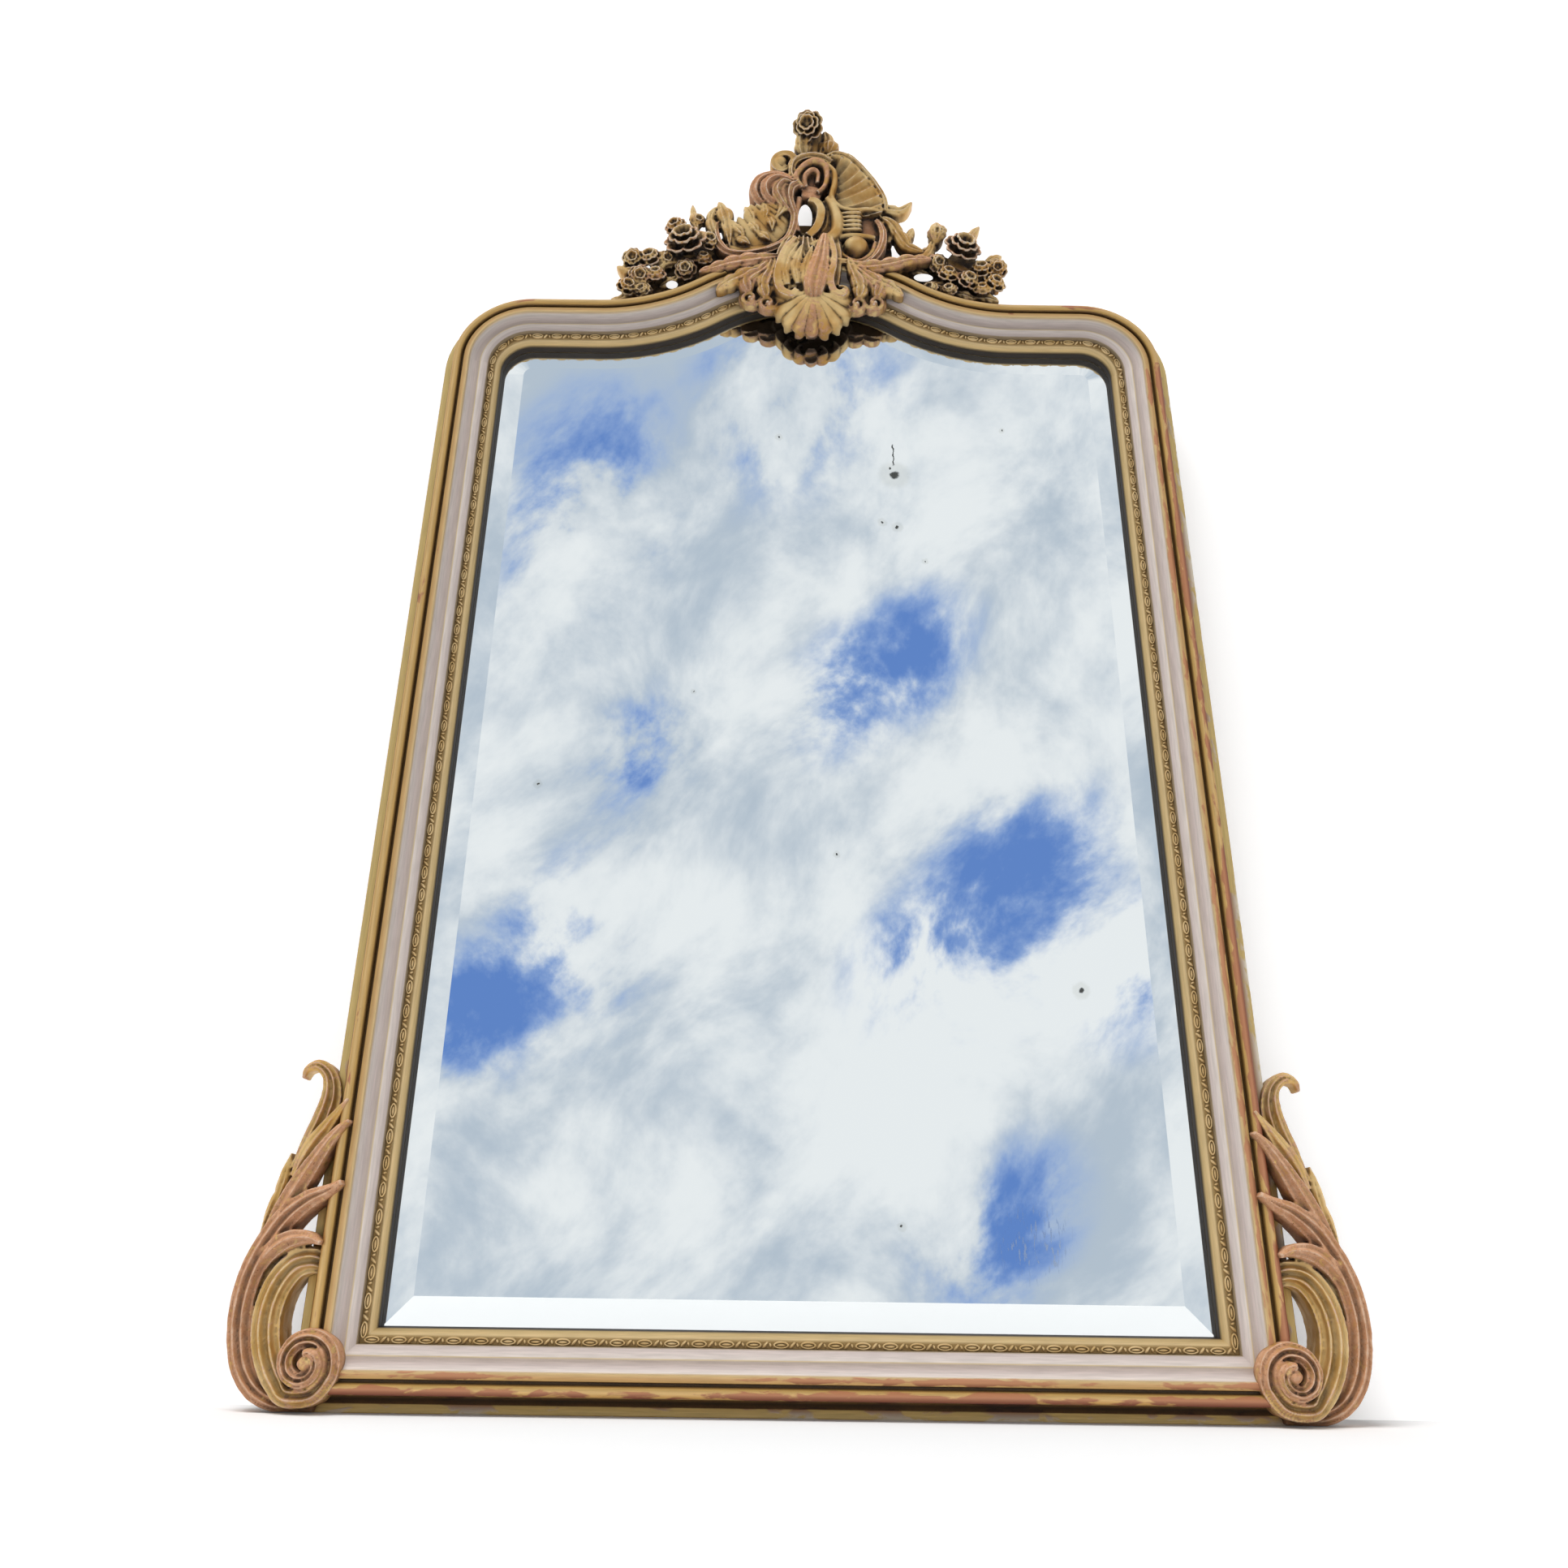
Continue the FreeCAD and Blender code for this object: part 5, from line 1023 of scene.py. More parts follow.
for n, (far, tone) in enumerate([(50, 0.1), (52, 0.1), (53, 0.15), (52, 0.45), (52, 0.6), (52, 0.45),
                                 (53, 0.15), (52, 0.1), (50, 0.1)]):
    way = math.radians(FIRST_RAY + RAY_STEP * n)
    reach_x, reach_z = far * math.cos(way), far * RAY_STRETCH * math.sin(way)
    shield.append(band([(DROP_X + reach_x * share, DROP_Z + reach_z * share, LAP_V + rise, wide, high)
                        for share, rise, wide, high in RAY], 0, 0, tone, 10, count=30))
for side, root_x, lobes in ((-1, -44, [(-54, 1328, 32), (-78, 1336, 32)]),
                            (1, 56, [(70, 1328, 32), (94, 1330, 32)])):
    for n, (x, z, wide) in enumerate(lobes):
        shield.append(leaf([(root_x, 1412 - 4 * n, 36, 12, 6), ((root_x + x) / 2, 1388, LAP_V, 20, 8),
                            (x + side * 2, z + 34, LAP_V, wide - 6, 9),
                            (x, z + 14, LAP_V - 4, wide * 0.5, 7)],
                           3, 0.24, 0.45, 0.15, 0.4, 0.35 + 0.2 * (n % 2), 10))
        shield += snail(x - side * 2, z + 4, LAP_V - 10, wide * 0.58, 1.57 + side * 0.8, 1.35, side,
                        0.42, 8.0, 0.5, 10)
shield += [
    leaf([(-34, 1412, 34, 14, 6), (-64, 1408, LAP_V, 26, 8), (-96, 1402, LAP_V, 26, 8),
          (-124, 1392, 38, 18, 7), (-146, 1384, 34, 6, 4)], 5, 0.3, 0.45, 0.12, 0.35, 0.6, 12),
    leaf([(-46, 1398, 34, 12, 6), (-76, 1384, LAP_V, 24, 8), (-104, 1368, LAP_V, 20, 7),
          (-122, 1352, 36, 6, 4)], 4, 0.3, 0.45, 0.12, 0.35, 0.35, 12),
    leaf([(44, 1404, 34, 12, 6), (76, 1396, LAP_V, 24, 8), (108, 1400, LAP_V, 24, 8),
          (140, 1410, 36, 18, 7), (170, 1412, 30, 6, 4)], 5, 0.3, 0.45, 0.12, 0.35, 0.55, 12),
    leaf([(52, 1392, 34, 12, 6), (84, 1376, LAP_V, 24, 8), (112, 1362, LAP_V, 20, 7),
          (130, 1346, 36, 6, 4)], 4, 0.3, 0.45, 0.12, 0.35, 0.35, 12),
]
print(len(shield), "shells on the shield")

# %% [markdown]
# ## The garlands
# On either side a spray of roses and smaller blossoms runs down the shoulder of the head.
# They are one rose, made large and small and turned about, on a stem with leaves.

# %% Garlands
def blossom(x, z, v, radius, tone, turn=0.0):
    """A smaller flower of the same kind, set a little deeper."""
    return rose(x, z, v - 3, radius * 1.12, tone, 5, turn)


def ground_leaves(rows):
    """Low leaves behind the flowers, from (x, z, lean in degrees, length) rows."""
    leaves = []
    for n, (x, z, lean, long) in enumerate(rows):
        way = math.radians(lean)
        leaves.append(leaf([(x - 6, z, 12, 8, 5),
                            (x + 0.5 * long * math.cos(way), z + 0.5 * long * math.sin(way) + 3, 15, 19, 7),
                            (x + long * math.cos(way), z + long * math.sin(way), 12, 4, 3)],
                           3, 0.25, 0.5, 0.2, 0.4, 0.15 + 0.12 * (n % 3), 12, 40))
    return leaves


garland_left = rose(-165, 1428, 24, 31, 0.5) + rose(-136, 1436, 22, 17, 0.3, 5, 0.9)
garland_left += blossom(-180, 1462, 21, 15, 0.45, 0.4) + blossom(-152, 1474, 20, 12, 0.35, 0.9)
garland_left += [leaf([(-150, 1452, 20, 8, 5), (-156, 1478, 21, 13, 6), (-160, 1506, 18, 3, 3)],
                      3, 0.2, 0.4, 0.2, 0.4, 0.2, 13)]
for x, z, radius, tone in ((-212, 1402, 17, 0.35), (-236, 1404, 15, 0.2), (-226, 1372, 16, 0.4),
                           (-204, 1374, 14, 0.5), (-242, 1352, 15, 0.25), (-190, 1404, 13, 0.3),
                           (-164, 1386, 15, 0.45), (-220, 1348, 12, 0.3), (-142, 1404, 13, 0.4)):
    garland_left += blossom(x, z, 22, radius, tone, 0.1 * x)
garland_left += [
    sprig([(-186, 1410, 20, 10, 5), (-200, 1392, 21, 16, 7), (-212, 1382, 20, 4, 3)], 0.05),
    sprig([(-228, 1388, 20, 8, 5), (-244, 1384, 20, 14, 6), (-258, 1392, 17, 3, 3)], 0.2),
    sprig([(-236, 1344, 19, 8, 5), (-250, 1334, 19, 13, 6), (-262, 1334, 16, 3, 3)], 0.2),
    band([(-130, 1408, 19, 12, 6), (-160, 1406, 20, 14, 7), (-194, 1396, 20, 12, 7),
          (-216, 1372, 19, 12, 6), (-236, 1352, 18, 8, 4)], 1, 0.3, 0.5, 14),
]
garland_left += ground_leaves([
    (-140, 1392, 195, 34), (-168, 1370, 205, 34), (-200, 1350, 200, 34), (-226, 1336, 192, 30),
    (-150, 1416, 170, 30), (-186, 1384, 190, 30), (-210, 1366, 215, 26)])
garland_right = rose(210, 1424, 24, 28, 0.5, 5, 0.1) + rose(180, 1456, 21, 15, 0.4, 5, 0.5)
garland_right += [sprig([(216, 1440, 20, 10, 5), (226, 1456, 20, 14, 6), (238, 1472, 17, 3, 3)], 0.35, 13),
                  bud([(178, 1440, 24, 22, 12), (179, 1478, 22)], 0.3, 3, 14)]
for x, z, radius, tone in ((236, 1388, 16, 0.3), (252, 1366, 15, 0.2), (258, 1394, 14, 0.3),
                           (216, 1370, 16, 0.45), (190, 1380, 15, 0.35), (178, 1402, 14, 0.4),
                           (236, 1356, 12, 0.35), (166, 1356, 12, 0.4), (192, 1354, 12, 0.4)):
    garland_right += blossom(x, z, 22, radius, tone, 0.1 * x)
garland_right += [
    sprig([(240, 1404, 20, 8, 5), (254, 1414, 20, 13, 6), (266, 1418, 17, 3, 3)], 0.2),
    sprig([(150, 1400, 19, 12, 6), (168, 1424, 20, 15, 6), (172, 1444, 19, 6, 4)], 0.3, 13),
    band([(132, 1404, 19, 12, 6), (162, 1414, 20, 12, 7), (194, 1404, 20, 12, 7), (222, 1384, 19, 12, 6),
          (250, 1362, 18, 8, 4)], 1, 0.3, 0.5, 14),
]
garland_right += ground_leaves([
    (134, 1388, -12, 34), (164, 1366, -20, 34), (196, 1350, -18, 34), (228, 1342, -8, 30),
    (146, 1416, 12, 28), (184, 1392, -12, 32), (212, 1384, -34, 28), (236, 1372, -20, 26)])
print(len(garland_left), "and", len(garland_right), "shells in the garlands")

# %% Carve the crest
CREST_NODES = ["crest_" + part for part in (
    "plank", "ear", "curl_top", "curl_left", "finial", "scroll_left", "scroll_right", "shield",
    "drop_shell", "lobe_left", "lobe_right", "leaf_left", "leaf_right")]
EYE_HOLE = (-3, 1485, 10, 26)
crest = [wood_of("crest_plank")] + crest_top + crest_left + crest_right + shield
seat(melted("crest_carving", crest, CREST_GILDING, holes=[EYE_HOLE]), "gilt_wood", *CREST_NODES)
for label, shells, hole in (("left", garland_left, (-182, 1362, 8, 7)),
                            ("right", garland_right, (158, 1380, 13, 7))):
    wing = "crest_wing_" + label
    seat(melted("garland_carving_" + label, [wood_of(wing)] + shells, CREST_GILDING, holes=[hole]),
         "gilt_wood", wing, "crest_rose_" + label, "crest_garland_" + label)

# %% [markdown]
# ## The lower corners
# Each lower corner carries a big C of acanthus that stands out beside the stile, ends in
# a snail on the moulding, and sends three leaves up over it. The right corner is the left
# one turned over, as the carver's pricked paper was.

# %% Lower corners
VOLUTE_X, VOLUTE_Z = -461, 42
SPIRAL_START, SPIRAL_TURN, SPIRAL_RADIUS = -112, 590, 29
inner_scroll = [(-442, 118, 22, 12, 7), (-455, 128, 24, 20, 10), (-470, 131, 25, 25, 11),
                (-485, 125, 25, 28, 12), (-497, 107, 24, 29, 12), (-502, 84, 24, 29, 12),
                (-500, 62, 24, 29, 12), (-493, 42, 26, 28, 12), (-483, 26, 29, 26, 12)]
for share in np.linspace(0, 1, 14):
    way = math.radians(SPIRAL_START + SPIRAL_TURN * share)
    far = SPIRAL_RADIUS * (1 - 0.78 * share)
    inner_scroll.append((VOLUTE_X + far * math.cos(way), VOLUTE_Z + far * math.sin(way), 33 + 17 * share,
                         22 * (1 - 0.58 * share), 12))
corner = [
    band(inner_scroll[:12], 3, 0.5, 0.2, 26, count=110),
    band(inner_scroll[9:], 3, 0.5, 0.62, 26, count=110),
    band([(-447, 5, 16, 10, 6), (-464, 7, 16, 15, 9), (-484, 10, 16, 18, 11), (-503, 20, 16, 21, 12),
          (-517, 38, 16, 23, 13), (-525, 65, 16, 24, 14), (-527, 95, 17, 24, 14), (-522, 124, 18, 25, 14),
          (-511, 149, 20, 26, 14), (-498, 170, 24, 25, 13), (-480, 186, 32, 20, 11), (-463, 195, 40, 13, 8),
          (-451, 204, 44, 5, 4)], 3, 0.4, 0.7, 24, count=150),
    band([(-498, 26, 14, 16, 9), (-511, 46, 14, 18, 10), (-515, 72, 14, 20, 10), (-515, 100, 14, 20, 10),
          (-508, 126, 15, 20, 10), (-496, 148, 17, 16, 9)], 1, 0.3, 0.2, 18),
    band([(-516, 146, 14, 12, 8), (-506, 170, 20, 20, 11), (-493, 198, 26, 22, 11), (-479, 225, 34, 17, 10),
          (-465, 249, 41, 11, 7), (-453, 263, 44, 4, 4)], 2, 0.45, 0.6, 18),
    band([(-520, 116, 16, 12, 8), (-511, 136, 24, 18, 10), (-495, 149, 32, 18, 10), (-477, 152, 42, 12, 7),
          (-463, 147, 45, 4, 4)], 2, 0.45, 0.65, 16),
    band([(-498, 208, 12, 10, 7), (-488, 232, 18, 18, 9), (-476, 252, 28, 16, 8), (-464, 272, 37, 8, 5),
          (-457, 284, 40, 3, 3)], 2, 0.4, 0.3, 16),
    leaf([(-522, 146, 8, 10, 6), (-515, 172, 9, 14, 8), (-509, 200, 9, 12, 7), (-505, 230, 7, 3, 3)],
         2, 0.15, 0.45, 0.2, 0.3, 0.05, 15),
    band([(-496, 214, 8, 16, 8), (-485, 240, 9, 24, 11), (-476, 266, 9, 25, 12), (-473, 288, 10, 22, 11),
          (-478, 306, 11, 16, 10), (-491, 316, 11, 12, 9), (-502, 312, 10, 8, 6), (-505, 303, 9, 4, 4)],
         3, 0.45, 0.35, 14),
    band([(-500, 176, 8, 16, 7), (-490, 206, 8, 18, 8), (-482, 236, 8, 16, 8), (-476, 262, 8, 12, 6)],
         1, 0.3, 0.3, 12),
    bud([(VOLUTE_X, VOLUTE_Z - 7, 50, 15, 9), (VOLUTE_X, VOLUTE_Z + 7, 50)], 0.6, 0, 18),
    band([(VOLUTE_X, VOLUTE_Z - 27, 31, 6, 5), (VOLUTE_X, VOLUTE_Z - 13, 33, 46, 6),
          (VOLUTE_X, VOLUTE_Z + 3, 34, 46, 6), (VOLUTE_X, VOLUTE_Z + 14, 33, 32, 6),
          (VOLUTE_X, VOLUTE_Z + 21, 31, 6, 5)], 0, 0, 0.7, 14),
]
# Fine ribs cross the inside of the C, set out on an ellipse.
RIB_X, RIB_Z, RIB_ACROSS, RIB_UP, RIB_HALF = -474, 80, 26, 46, 10
for n in range(14):
    way = math.radians(112 + 11 * n)
    x, z = RIB_X + RIB_ACROSS * math.cos(way), RIB_Z + RIB_UP * math.sin(way)
    end_x, end_z = RIB_HALF * math.cos(way), RIB_HALF * math.sin(way)
    corner.append(band([(x - end_x, z - end_z, 26, 2.5, 3), (x, z, 27, 3.5, 4),
                        (x + end_x, z + end_z, 26, 2.5, 3)], 0, 0, 0.1, 5, count=12))
CORNER_BACK_V = -14.0
CORNER_VOXEL_MM = 1.2
for label, shells in (("left", corner), ("right", mirrored(corner))):
    parts = ["corner_%s_%s" % (part, label) for part in ("scroll", "leaf", "volute", "sprigs")]
    piece = melted("corner_carving_" + label, shells, CORNER_GILDING, CORNER_VOXEL_MM, CORNER_BACK_V)
    seat(piece, "gilt_wood", *parts)

# %% [markdown]
# ## Silvered plate glass
# The mirror is polished plate, bevelled 36 mm wide on its edge and silvered behind. The
# eye sees the silver, not the glass, so the plate is a smooth metal with silver's pale
# cool colour. The real bevelled shape bends the reflections. A century has cost it some
# silver: a few dark spots, each in a dull bloom, one scratch, and a cloud of fine scratches
# low on the right.

# %% Mirror plate
SPOTS = [
    # (x, z, radius) in millimetres on the plate
    (114, 1073, 5.6), (108, 1084, 1.6), (97, 1001, 1.6), (116, 994, 2.0), (149, 944, 1.2),
    (-130, 760, 1.0), (299, 410, 2.6), (101, 170, 1.3), (-34, 1130, 1.4), (255, 1145, 1.2),
    (-302, 640, 1.5), (38, 560, 1.1),
]
SCRATCH_X, SCRATCH_FOOT, SCRATCH_TOP = 113, 1090, 1122
CLOUD_X, CLOUD_Z, CLOUD_RADIUS, CLOUD_FEATHER = 235, 160, 34, 14
FRAY_MM = 6.0  # how far a noise moves the edges of all of these; half of it is its mean


def silvered_plate():
    """Silver behind glass, with what a century has done to it."""
    material, add = new_material("silvered_plate_glass")
    where = add("TexCoord").outputs["Object"]
    sheet = add("VectorMath", where, Scale=1 / MM, operation="SCALE")
    flat = add("VectorMath", sheet, (1.0, 0.0, 1.0), operation="MULTIPLY")
    ragged = add("VectorMath", add("TexNoise", where, every(6), 4.0).outputs["Color"],
                 (FRAY_MM, 0.0, FRAY_MM), flat, operation="MULTIPLY_ADD")
    lost, bloom = 0.0, 0.0
    for x, z, radius in SPOTS:
        far = add("VectorMath", ragged, (x + FRAY_MM / 2, 0, z + FRAY_MM / 2), operation="DISTANCE")
        lost = add("Math", lost, add("MapRange", far, radius * 1.3, radius * 0.7, **SOFT), **MOST)
        bloom = add("Math", bloom, add("MapRange", far, radius * 4.4, radius * 2.6, **SOFT), **MOST)
    spot = add("SeparateXYZ", ragged)
    aside = add("Math", spot.outputs["X"], SCRATCH_X + FRAY_MM / 2, operation="SUBTRACT")
    aside = add("Math", aside, operation="ABSOLUTE")
    line = add("MapRange", aside, 1.1, 0.5, **SOFT)
    line = add("Math", line, add("MapRange", spot.outputs["Z"], SCRATCH_FOOT, SCRATCH_FOOT + 4), **TIMES)
    line = add("Math", line, add("MapRange", spot.outputs["Z"], SCRATCH_TOP + 4, SCRATCH_TOP), **TIMES)
    lost = add("Math", lost, line, **MOST)
    cloud = add("MapRange", add("VectorMath", ragged, (CLOUD_X, 0, CLOUD_Z), operation="DISTANCE"),
                CLOUD_RADIUS + CLOUD_FEATHER, CLOUD_RADIUS - CLOUD_FEATHER, **SOFT)
    streaks = add("VectorMath", where, (1.0, 1.0, 0.22), operation="MULTIPLY")
    streaks = add("TexNoise", streaks, every(2.4), 5.0)
    cloud = add("Math", cloud, add("MapRange", streaks, 0.54, 0.66, **SOFT), **TIMES)
    silver = add("Mix", add("Math", bloom, 0.3, **TIMES), linear("#EDF1F2"), linear("#C6C9C2"), **COLOUR)
    silver = add("Mix", add("Math", cloud, 0.4, **TIMES), silver, linear("#A9AEB6"), **COLOUR)
    silver = add("Mix", lost, silver, linear("#474946"), **COLOUR)
    rough = add("Math", lost, 0.5, add("Math", cloud, 0.1, 0.01, **SUM), **SUM)
    add("OutputMaterial", add("BsdfPrincipled", Base_Color=silver, Roughness=rough,
                              Metallic=add("MapRange", lost, 0.0, 1.0, 1.0, 0.3)))
    return material


def finish_node(node, material):
    """Gives a part of the frame its material; the part itself stays as it is."""
    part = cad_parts[node]
    part.data.materials.clear()
    part.data.materials.append(material)


finish_node("mirror_glass", silvered_plate())
print(len(SPOTS), "spots in the silver")

# %% [markdown]
# ## The back
# Nobody gilds what faces the wall. The carcass and the backboards are bare pine gone
# brown, darker where dust has settled, with the year rings running the way each board was
# sawn. Pine's rings are 3 to 5 mm apart, and a fine fibre runs along between them.

# %% Pine
RING_MM = 4.5
STRETCH = 0.06  # how far the grain is drawn out along the board


def pine(name, direction, brown, pale):
    """Old pine; direction is the axis that its grain follows, X or Z."""
    material, add = new_material(name)
    where = add("TexCoord").outputs["Object"]
    stretch = (STRETCH, 1.0, 1.0) if direction == "X" else (1.0, 1.0, STRETCH)
    along = add("VectorMath", where, stretch, operation="MULTIPLY")
    warp = add("TexNoise", along, every(85), 4.0)
    bent = add("VectorMath", (0.09, 0.09, 0.09), warp, along, operation="MULTIPLY_ADD")
    rings = add("TexWave", bent, every(RING_MM) / 20, 2.5, 3.0,
                bands_direction="Z" if direction == "X" else "X")
    rings = rings.outputs["Fac"]
    fibre = add("TexNoise", along, every(1.5), 3.0)
    dust = add("TexNoise", where, every(90), 5.0)
    wood = add("Mix", add("MapRange", rings, 0.3, 1.0, 0.0, 0.28, **SOFT),
               linear(pale), linear(brown), **COLOUR)
    wood = add("Mix", add("MapRange", fibre, 0.5, 0.75, 0.0, 0.45, **SOFT), wood, linear(brown), **COLOUR)
    wood = add("Mix", add("MapRange", dust, 0.45, 0.8, 0.0, 0.5, **SOFT), wood, linear("#4A3A2A"), **COLOUR)
    add("OutputMaterial", add("BsdfPrincipled", Base_Color=wood,
                              Roughness=add("Math", dust, 0.25, 0.62, **SUM),
                              Normal=add("Bump", Height=add("Math", rings, 0.6, fibre, **SUM),
                                         Distance=0.25 * MM)))
    return material


PINE_UP = pine("old_pine_upright", "Z", "#6E4E30", "#A88458")
PINE_ACROSS = pine("old_pine_across", "X", "#6E4E30", "#A88458")
BOARD_PINE = pine("backboard_pine", "X", "#7C5C3A", "#B6946A")
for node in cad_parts:
    if node.startswith("back_board_"):
        finish_node(node, BOARD_PINE)
for node in ("carcass_left_stile", "carcass_right_stile", "crest_batten"):
    finish_node(node, PINE_UP)
for node in ("carcass_bottom_rail", "carcass_top_rail", "glass_blocks"):
    finish_node(node, PINE_ACROSS)
print("pine on the carcass and the backboards")

# %% [markdown]
# ## Metal behind
# The nails, screws and straps are wrought iron with a thin skin of rust; the hangers are
# cast brass gone dull. Both start from the metal's own colour, and the oxide covers it in
# patches of a few millimetres.

# %% Iron and brass
def old_metal(name, fresh, oxide, cover, rough):
    """A metal that its oxide covers in patches; cover is how much of it, from 0 to 1."""
    material, add = new_material(name)
    where = add("TexCoord").outputs["Object"]
    patches = add("TexNoise", where, every(5), 6.0, Distortion=0.5)
    grain = add("TexNoise", where, every(0.9), 2.0)
    rusted = add("MapRange", add("Math", grain, 0.3, patches, **SUM), 1.0 - cover * 0.6,
                 1.1 - cover * 0.45, **SOFT)
    colour = add("Mix", rusted, linear(fresh), linear(oxide), **COLOUR)
    add("OutputMaterial", add("BsdfPrincipled", Base_Color=colour,
                              Metallic=add("MapRange", rusted, 0.0, 1.0, 1.0, 0.15),
                              Roughness=add("Math", rusted, 0.35, rough, **SUM),
                              Normal=add("Bump", Height=add("Math", grain, patches), Distance=0.08 * MM)))
    return material


IRON = old_metal("wrought_iron", "#6C675F", "#4A2C1C", 0.75, 0.45)
BRASS = old_metal("dull_brass", "#A98A4C", "#5E4A26", 0.5, 0.35)
SILVER_PAINT = old_metal("silvering_back_paint", "#5A4438", "#3C2A22", 0.9, 0.6)
for node in ("board_nails", "strap_screws", "hanger_screws", "crest_straps"):
    finish_node(node, IRON)
for node in ("hanger_plate_left", "hanger_plate_right", "hanger_ring_left", "hanger_ring_right"):
    finish_node(node, BRASS)
finish_node("silvering", SILVER_PAINT)
print("iron, brass and the paint behind the silver")

# %% [markdown]
# ## Stage, light and camera
# The mirror stands on a pale floor just in front of a pale backdrop, under one big soft
# light from above and in front, as under an overcast sky, and a faint one from the right.
# The mirror and the gold need something to reflect: the world shows them a bright sky with
# broken cloud, while the camera sees plain white. The backdrop has no back, so it hides
# nothing from behind.

# %% Stage
FLOOR_LIFT, WALL_LIFT = 0.04, 0.36  # a little light of their own, so that they look white
WALL_Y, FLOOR_FRONT, STAGE_REACH = 0.05, -1.15, 4


def plain_stage(name, corners_xyz, lift_by, one_sided):
    """A white sheet that keeps the shadows that fall on it."""
    mesh = bpy.data.meshes.new(name)
    mesh.from_pydata(corners_xyz, [], [(0, 1, 2, 3)])
    material, add = new_material(name + "_white")
    white = add("BsdfDiffuse", (0.86, 0.86, 0.86, 1.0))
    rays = add("LightPath")
    seen = add("Math", rays.outputs["Is Glossy Ray"], rays.outputs["Is Transmission Ray"], **MOST)
    seen = add("Math", rays.outputs["Is Camera Ray"], seen, **MOST)
    lift = add("Emission", (1, 1, 1, 1), add("Math", seen, lift_by, **TIMES))
    lit = add("AddShader", white, lift)
    if one_sided:
        behind = add("NewGeometry").outputs["Backfacing"]
        lit = add("MixShader", behind, lit, add("BsdfTransparent"))
    add("OutputMaterial", lit)
    mesh.materials.append(material)
    piece = bpy.data.objects.new(name, mesh)
    bpy.context.scene.collection.objects.link(piece)


plain_stage("floor", [(-STAGE_REACH, FLOOR_FRONT, 0), (STAGE_REACH, FLOOR_FRONT, 0),
                      (STAGE_REACH, STAGE_REACH, 0), (-STAGE_REACH, STAGE_REACH, 0)],
            FLOOR_LIFT, one_sided=False)
plain_stage("backdrop", [(-STAGE_REACH, WALL_Y, 0), (STAGE_REACH, WALL_Y, 0),
                         (STAGE_REACH, WALL_Y, STAGE_REACH), (-STAGE_REACH, WALL_Y, STAGE_REACH)],
            WALL_LIFT, one_sided=True)
print("floor and backdrop in place")

# %% World
BLUE_OPENINGS = [
    # where the sky shows blue, in degrees: (azimuth from straight ahead of the mirror, elevation, reach)
    (-11.4, 35.0, 4.4), (0.4, 40.5, 4.4), (6.5, 28.4, 3.2), (3.4, 27.0, 3.2), (10.9, 17.0, 5.2),
    (7.0, 14.8, 3.4), (-10.0, 15.0, 4.4), (-13.6, 11.8, 3.6), (-7.8, 17.6, 3.0), (-7.8, 23.6, 3.0),
    (9.5, 2.5, 3.4), (16.5, 14.0, 3.4),
]
STREAK = (math.radians(50), 0.75, 1.1)  # the streaks' slope, and the scales along and across it
AMBIENT = 0.40  # how strongly the sky lights things, when it is 1 to look at


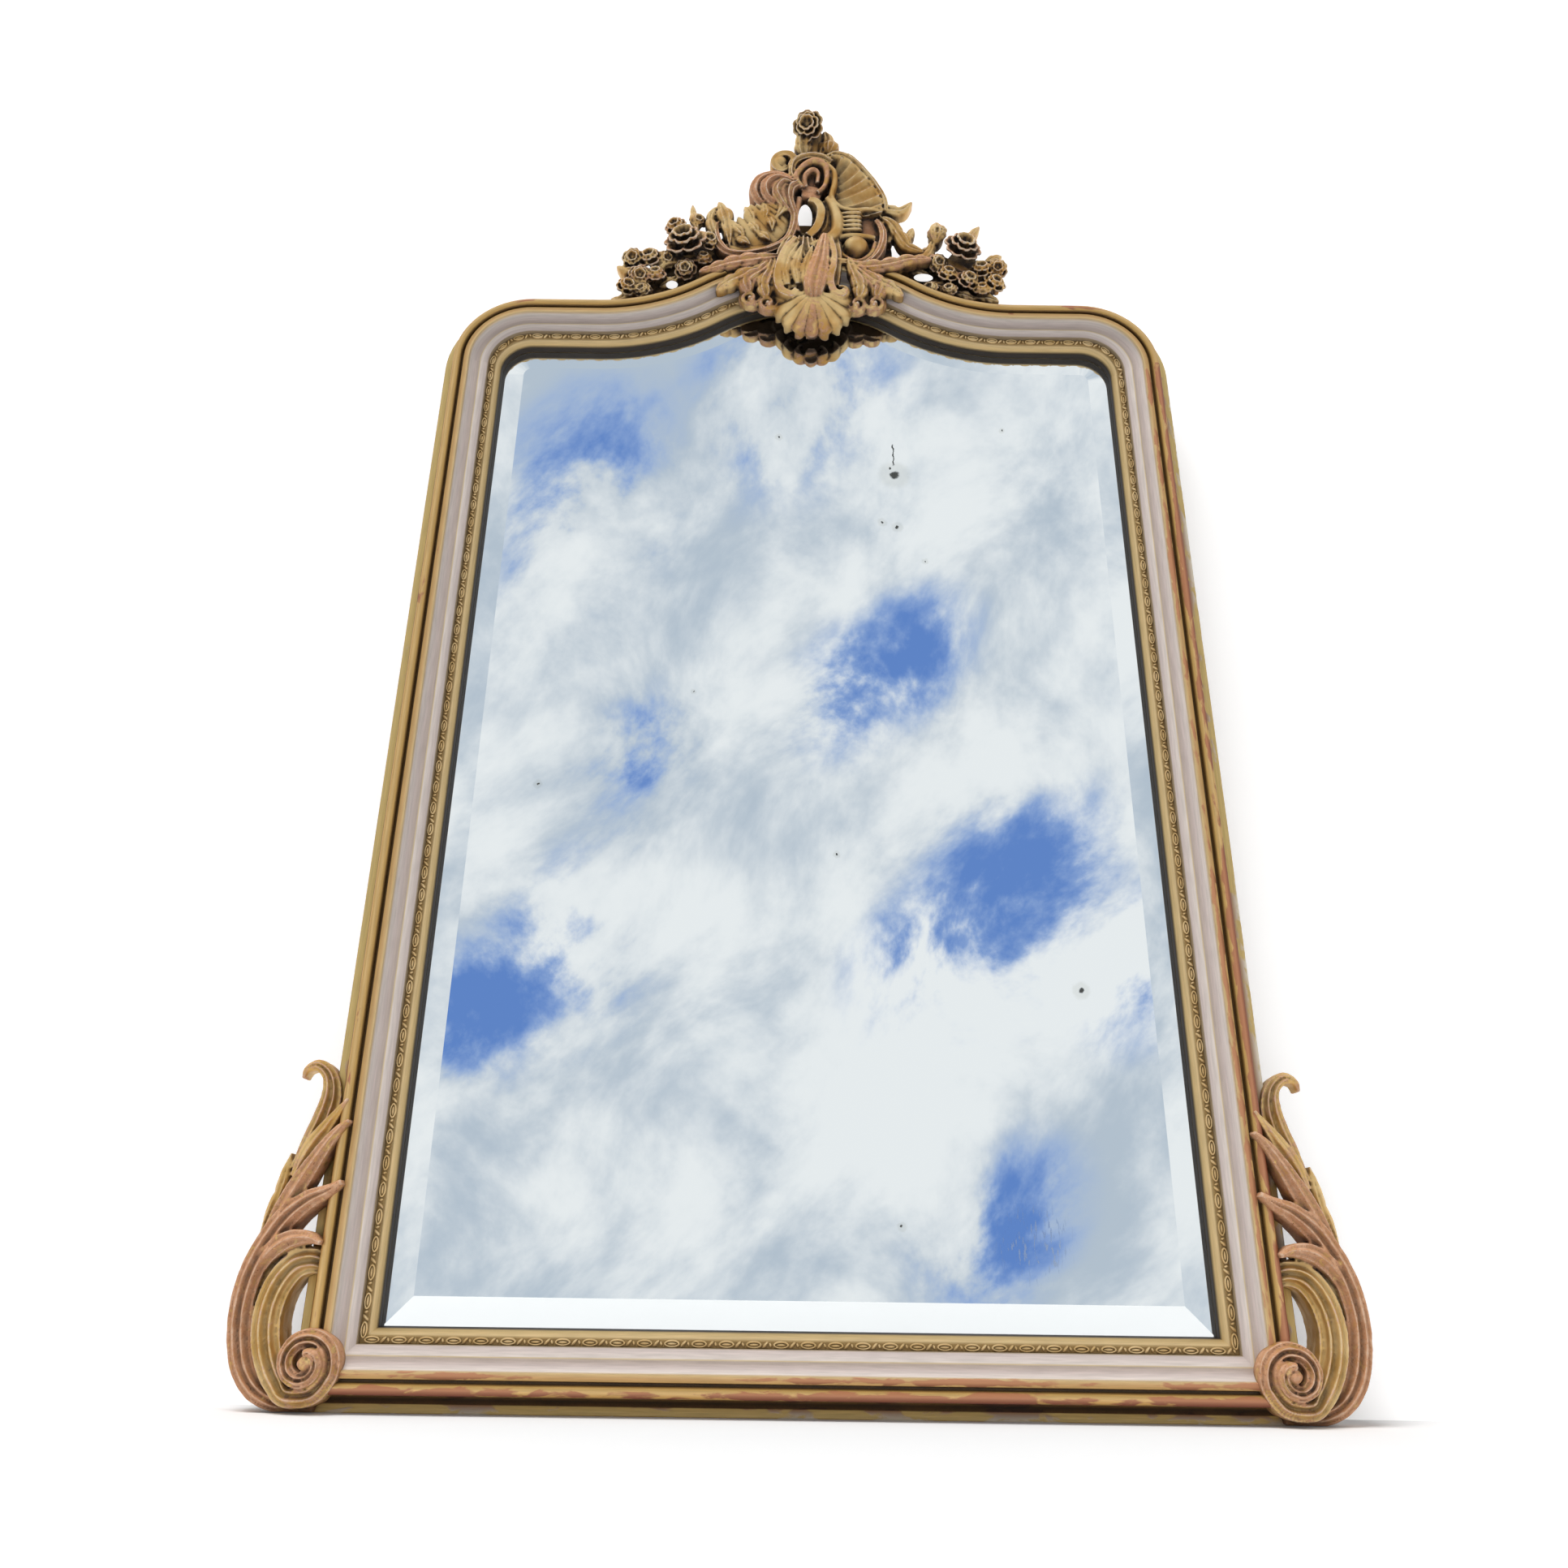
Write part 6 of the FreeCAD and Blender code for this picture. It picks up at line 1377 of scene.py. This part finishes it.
def overcast_world():
    """Broken white cloud with blue openings, for glossy rays; plain white for the rest."""
    world = bpy.data.worlds.new("overcast")
    world.use_nodes = True
    world.node_tree.nodes.clear()
    add = partial(add_node, world.node_tree)
    sky_way = add("TexCoord").outputs["Generated"]
    turned = add("VectorRotate", sky_way, Axis=(0, 1, 0), Angle=STREAK[0])
    streaks = add("VectorMath", turned, (STREAK[1], 1.0, STREAK[2]), operation="MULTIPLY")
    puffs = add("TexNoise", streaks, 7.5, 11.0, 0.62, Distortion=0.3)
    veil = add("TexNoise", sky_way, 3.2, 6.0, 0.55)
    opening = 0.0
    for azimuth, elevation, reach in BLUE_OPENINGS:
        a, e = math.radians(azimuth), math.radians(elevation)
        side, up = math.sin(a) * math.cos(e), math.sin(e)
        middle = (STREAK[1] * (side * math.cos(STREAK[0]) + up * math.sin(STREAK[0])),
                  -math.cos(a) * math.cos(e),
                  STREAK[2] * (up * math.cos(STREAK[0]) - side * math.sin(STREAK[0])))
        far = add("VectorMath", streaks, middle, operation="DISTANCE")
        opening = add("Math", opening,
                      add("MapRange", far, math.radians(reach) * 1.6, 0.0, 0.0, 0.56, **SOFT), **MOST)
    # The cloud's own grain tears the round openings into rags; unclamped, it can cover one.
    torn = add("MapRange", puffs, 0.36, 0.60, 2.5, -0.55, clamp=False)
    bare = add("Math", opening, torn, -0.04, **SUM)
    share = add("MapRange", bare, 0.0, 0.62, **SOFT)
    blue = add("Mix", add("MapRange", bare, 0.25, 0.95, **SOFT),
               linear("#A3BBE4"), linear("#668CD0"), **COLOUR)
    light = add("Math", puffs, 0.6, add("Math", veil, 0.5, **TIMES), **SUM)
    cloud = add("Mix", add("MapRange", light, 0.46, 0.63, **SOFT),
                linear("#BFCBD8"), linear("#F7F9FA"), **COLOUR)
    sky = add("Mix", share, cloud, blue, **COLOUR)
    rays = add("LightPath")
    bounced = add("Math", rays.outputs["Is Glossy Ray"], rays.outputs["Is Transmission Ray"], **MOST)
    colour = add("Mix", bounced, (1, 1, 1, 1), sky, **COLOUR)
    direct = add("Math", rays.outputs["Is Camera Ray"], bounced, **MOST)
    # Light that reaches the floor by way of the mirror is no stronger than the rest.
    direct = add("Math", direct, rays.outputs["Diffuse Depth"], **LESS)
    strength = add("MapRange", direct, 0.0, 1.0, AMBIENT, 1.0)
    add("OutputWorld", add("Background", colour, strength))
    bpy.context.scene.world = world


overcast_world()


def area_lamp(name, spot, size, power):
    """A round soft light, aimed at the middle of the mirror."""
    lamp = bpy.data.lights.new(name, "AREA")
    lamp.shape, lamp.size, lamp.energy = "DISK", size, power
    holder = bpy.data.objects.new(name, lamp)
    holder.location = spot
    aim = Vector((0, 0, 0.5 * CROWN_TOP * MM)) - Vector(spot)
    holder.rotation_euler = aim.to_track_quat("-Z", "Y").to_euler()
    holder.visible_glossy = False
    bpy.context.scene.collection.objects.link(holder)


area_lamp("sky_light", (-1.8, -2.8, 7.2), size=4.4, power=480)
area_lamp("side_fill", (2.4, -2.2, 1.6), size=1.6, power=10)
print(len(BLUE_OPENINGS), "openings in the cloud")

# %% [markdown]
# The camera stands low and close, a hand above the floor, and looks up, so the mirror
# narrows towards its crest. Its place was worked out from the mirror's own right angles.

# %% Camera
EYE = (-0.01978, -1.29303, 0.11004)
YAW, PITCH, ROLL = math.radians(0.08), math.radians(22.6), math.radians(-0.78)
LENS_MM, FILM_MM = 27.95, 36.0
NEAREST_M = 0.01

camera = bpy.data.cameras.new("low_camera")
camera.lens, camera.sensor_width, camera.sensor_fit = LENS_MM, FILM_MM, "HORIZONTAL"
camera.clip_start = NEAREST_M
eye = bpy.data.objects.new("low_camera", camera)
turn = Matrix.Rotation(YAW, 3, "Z") @ Matrix.Rotation(PITCH, 3, "X") @ Matrix.Rotation(ROLL, 3, "Y")
upright = Matrix.Rotation(math.pi / 2, 3, "X")
eye.matrix_world = Matrix.Translation(EYE) @ (turn @ upright).to_4x4()
bpy.context.scene.collection.objects.link(eye)
bpy.context.scene.camera = eye
bpy.context.scene.view_settings.view_transform = "Standard"
print("camera at", EYE)
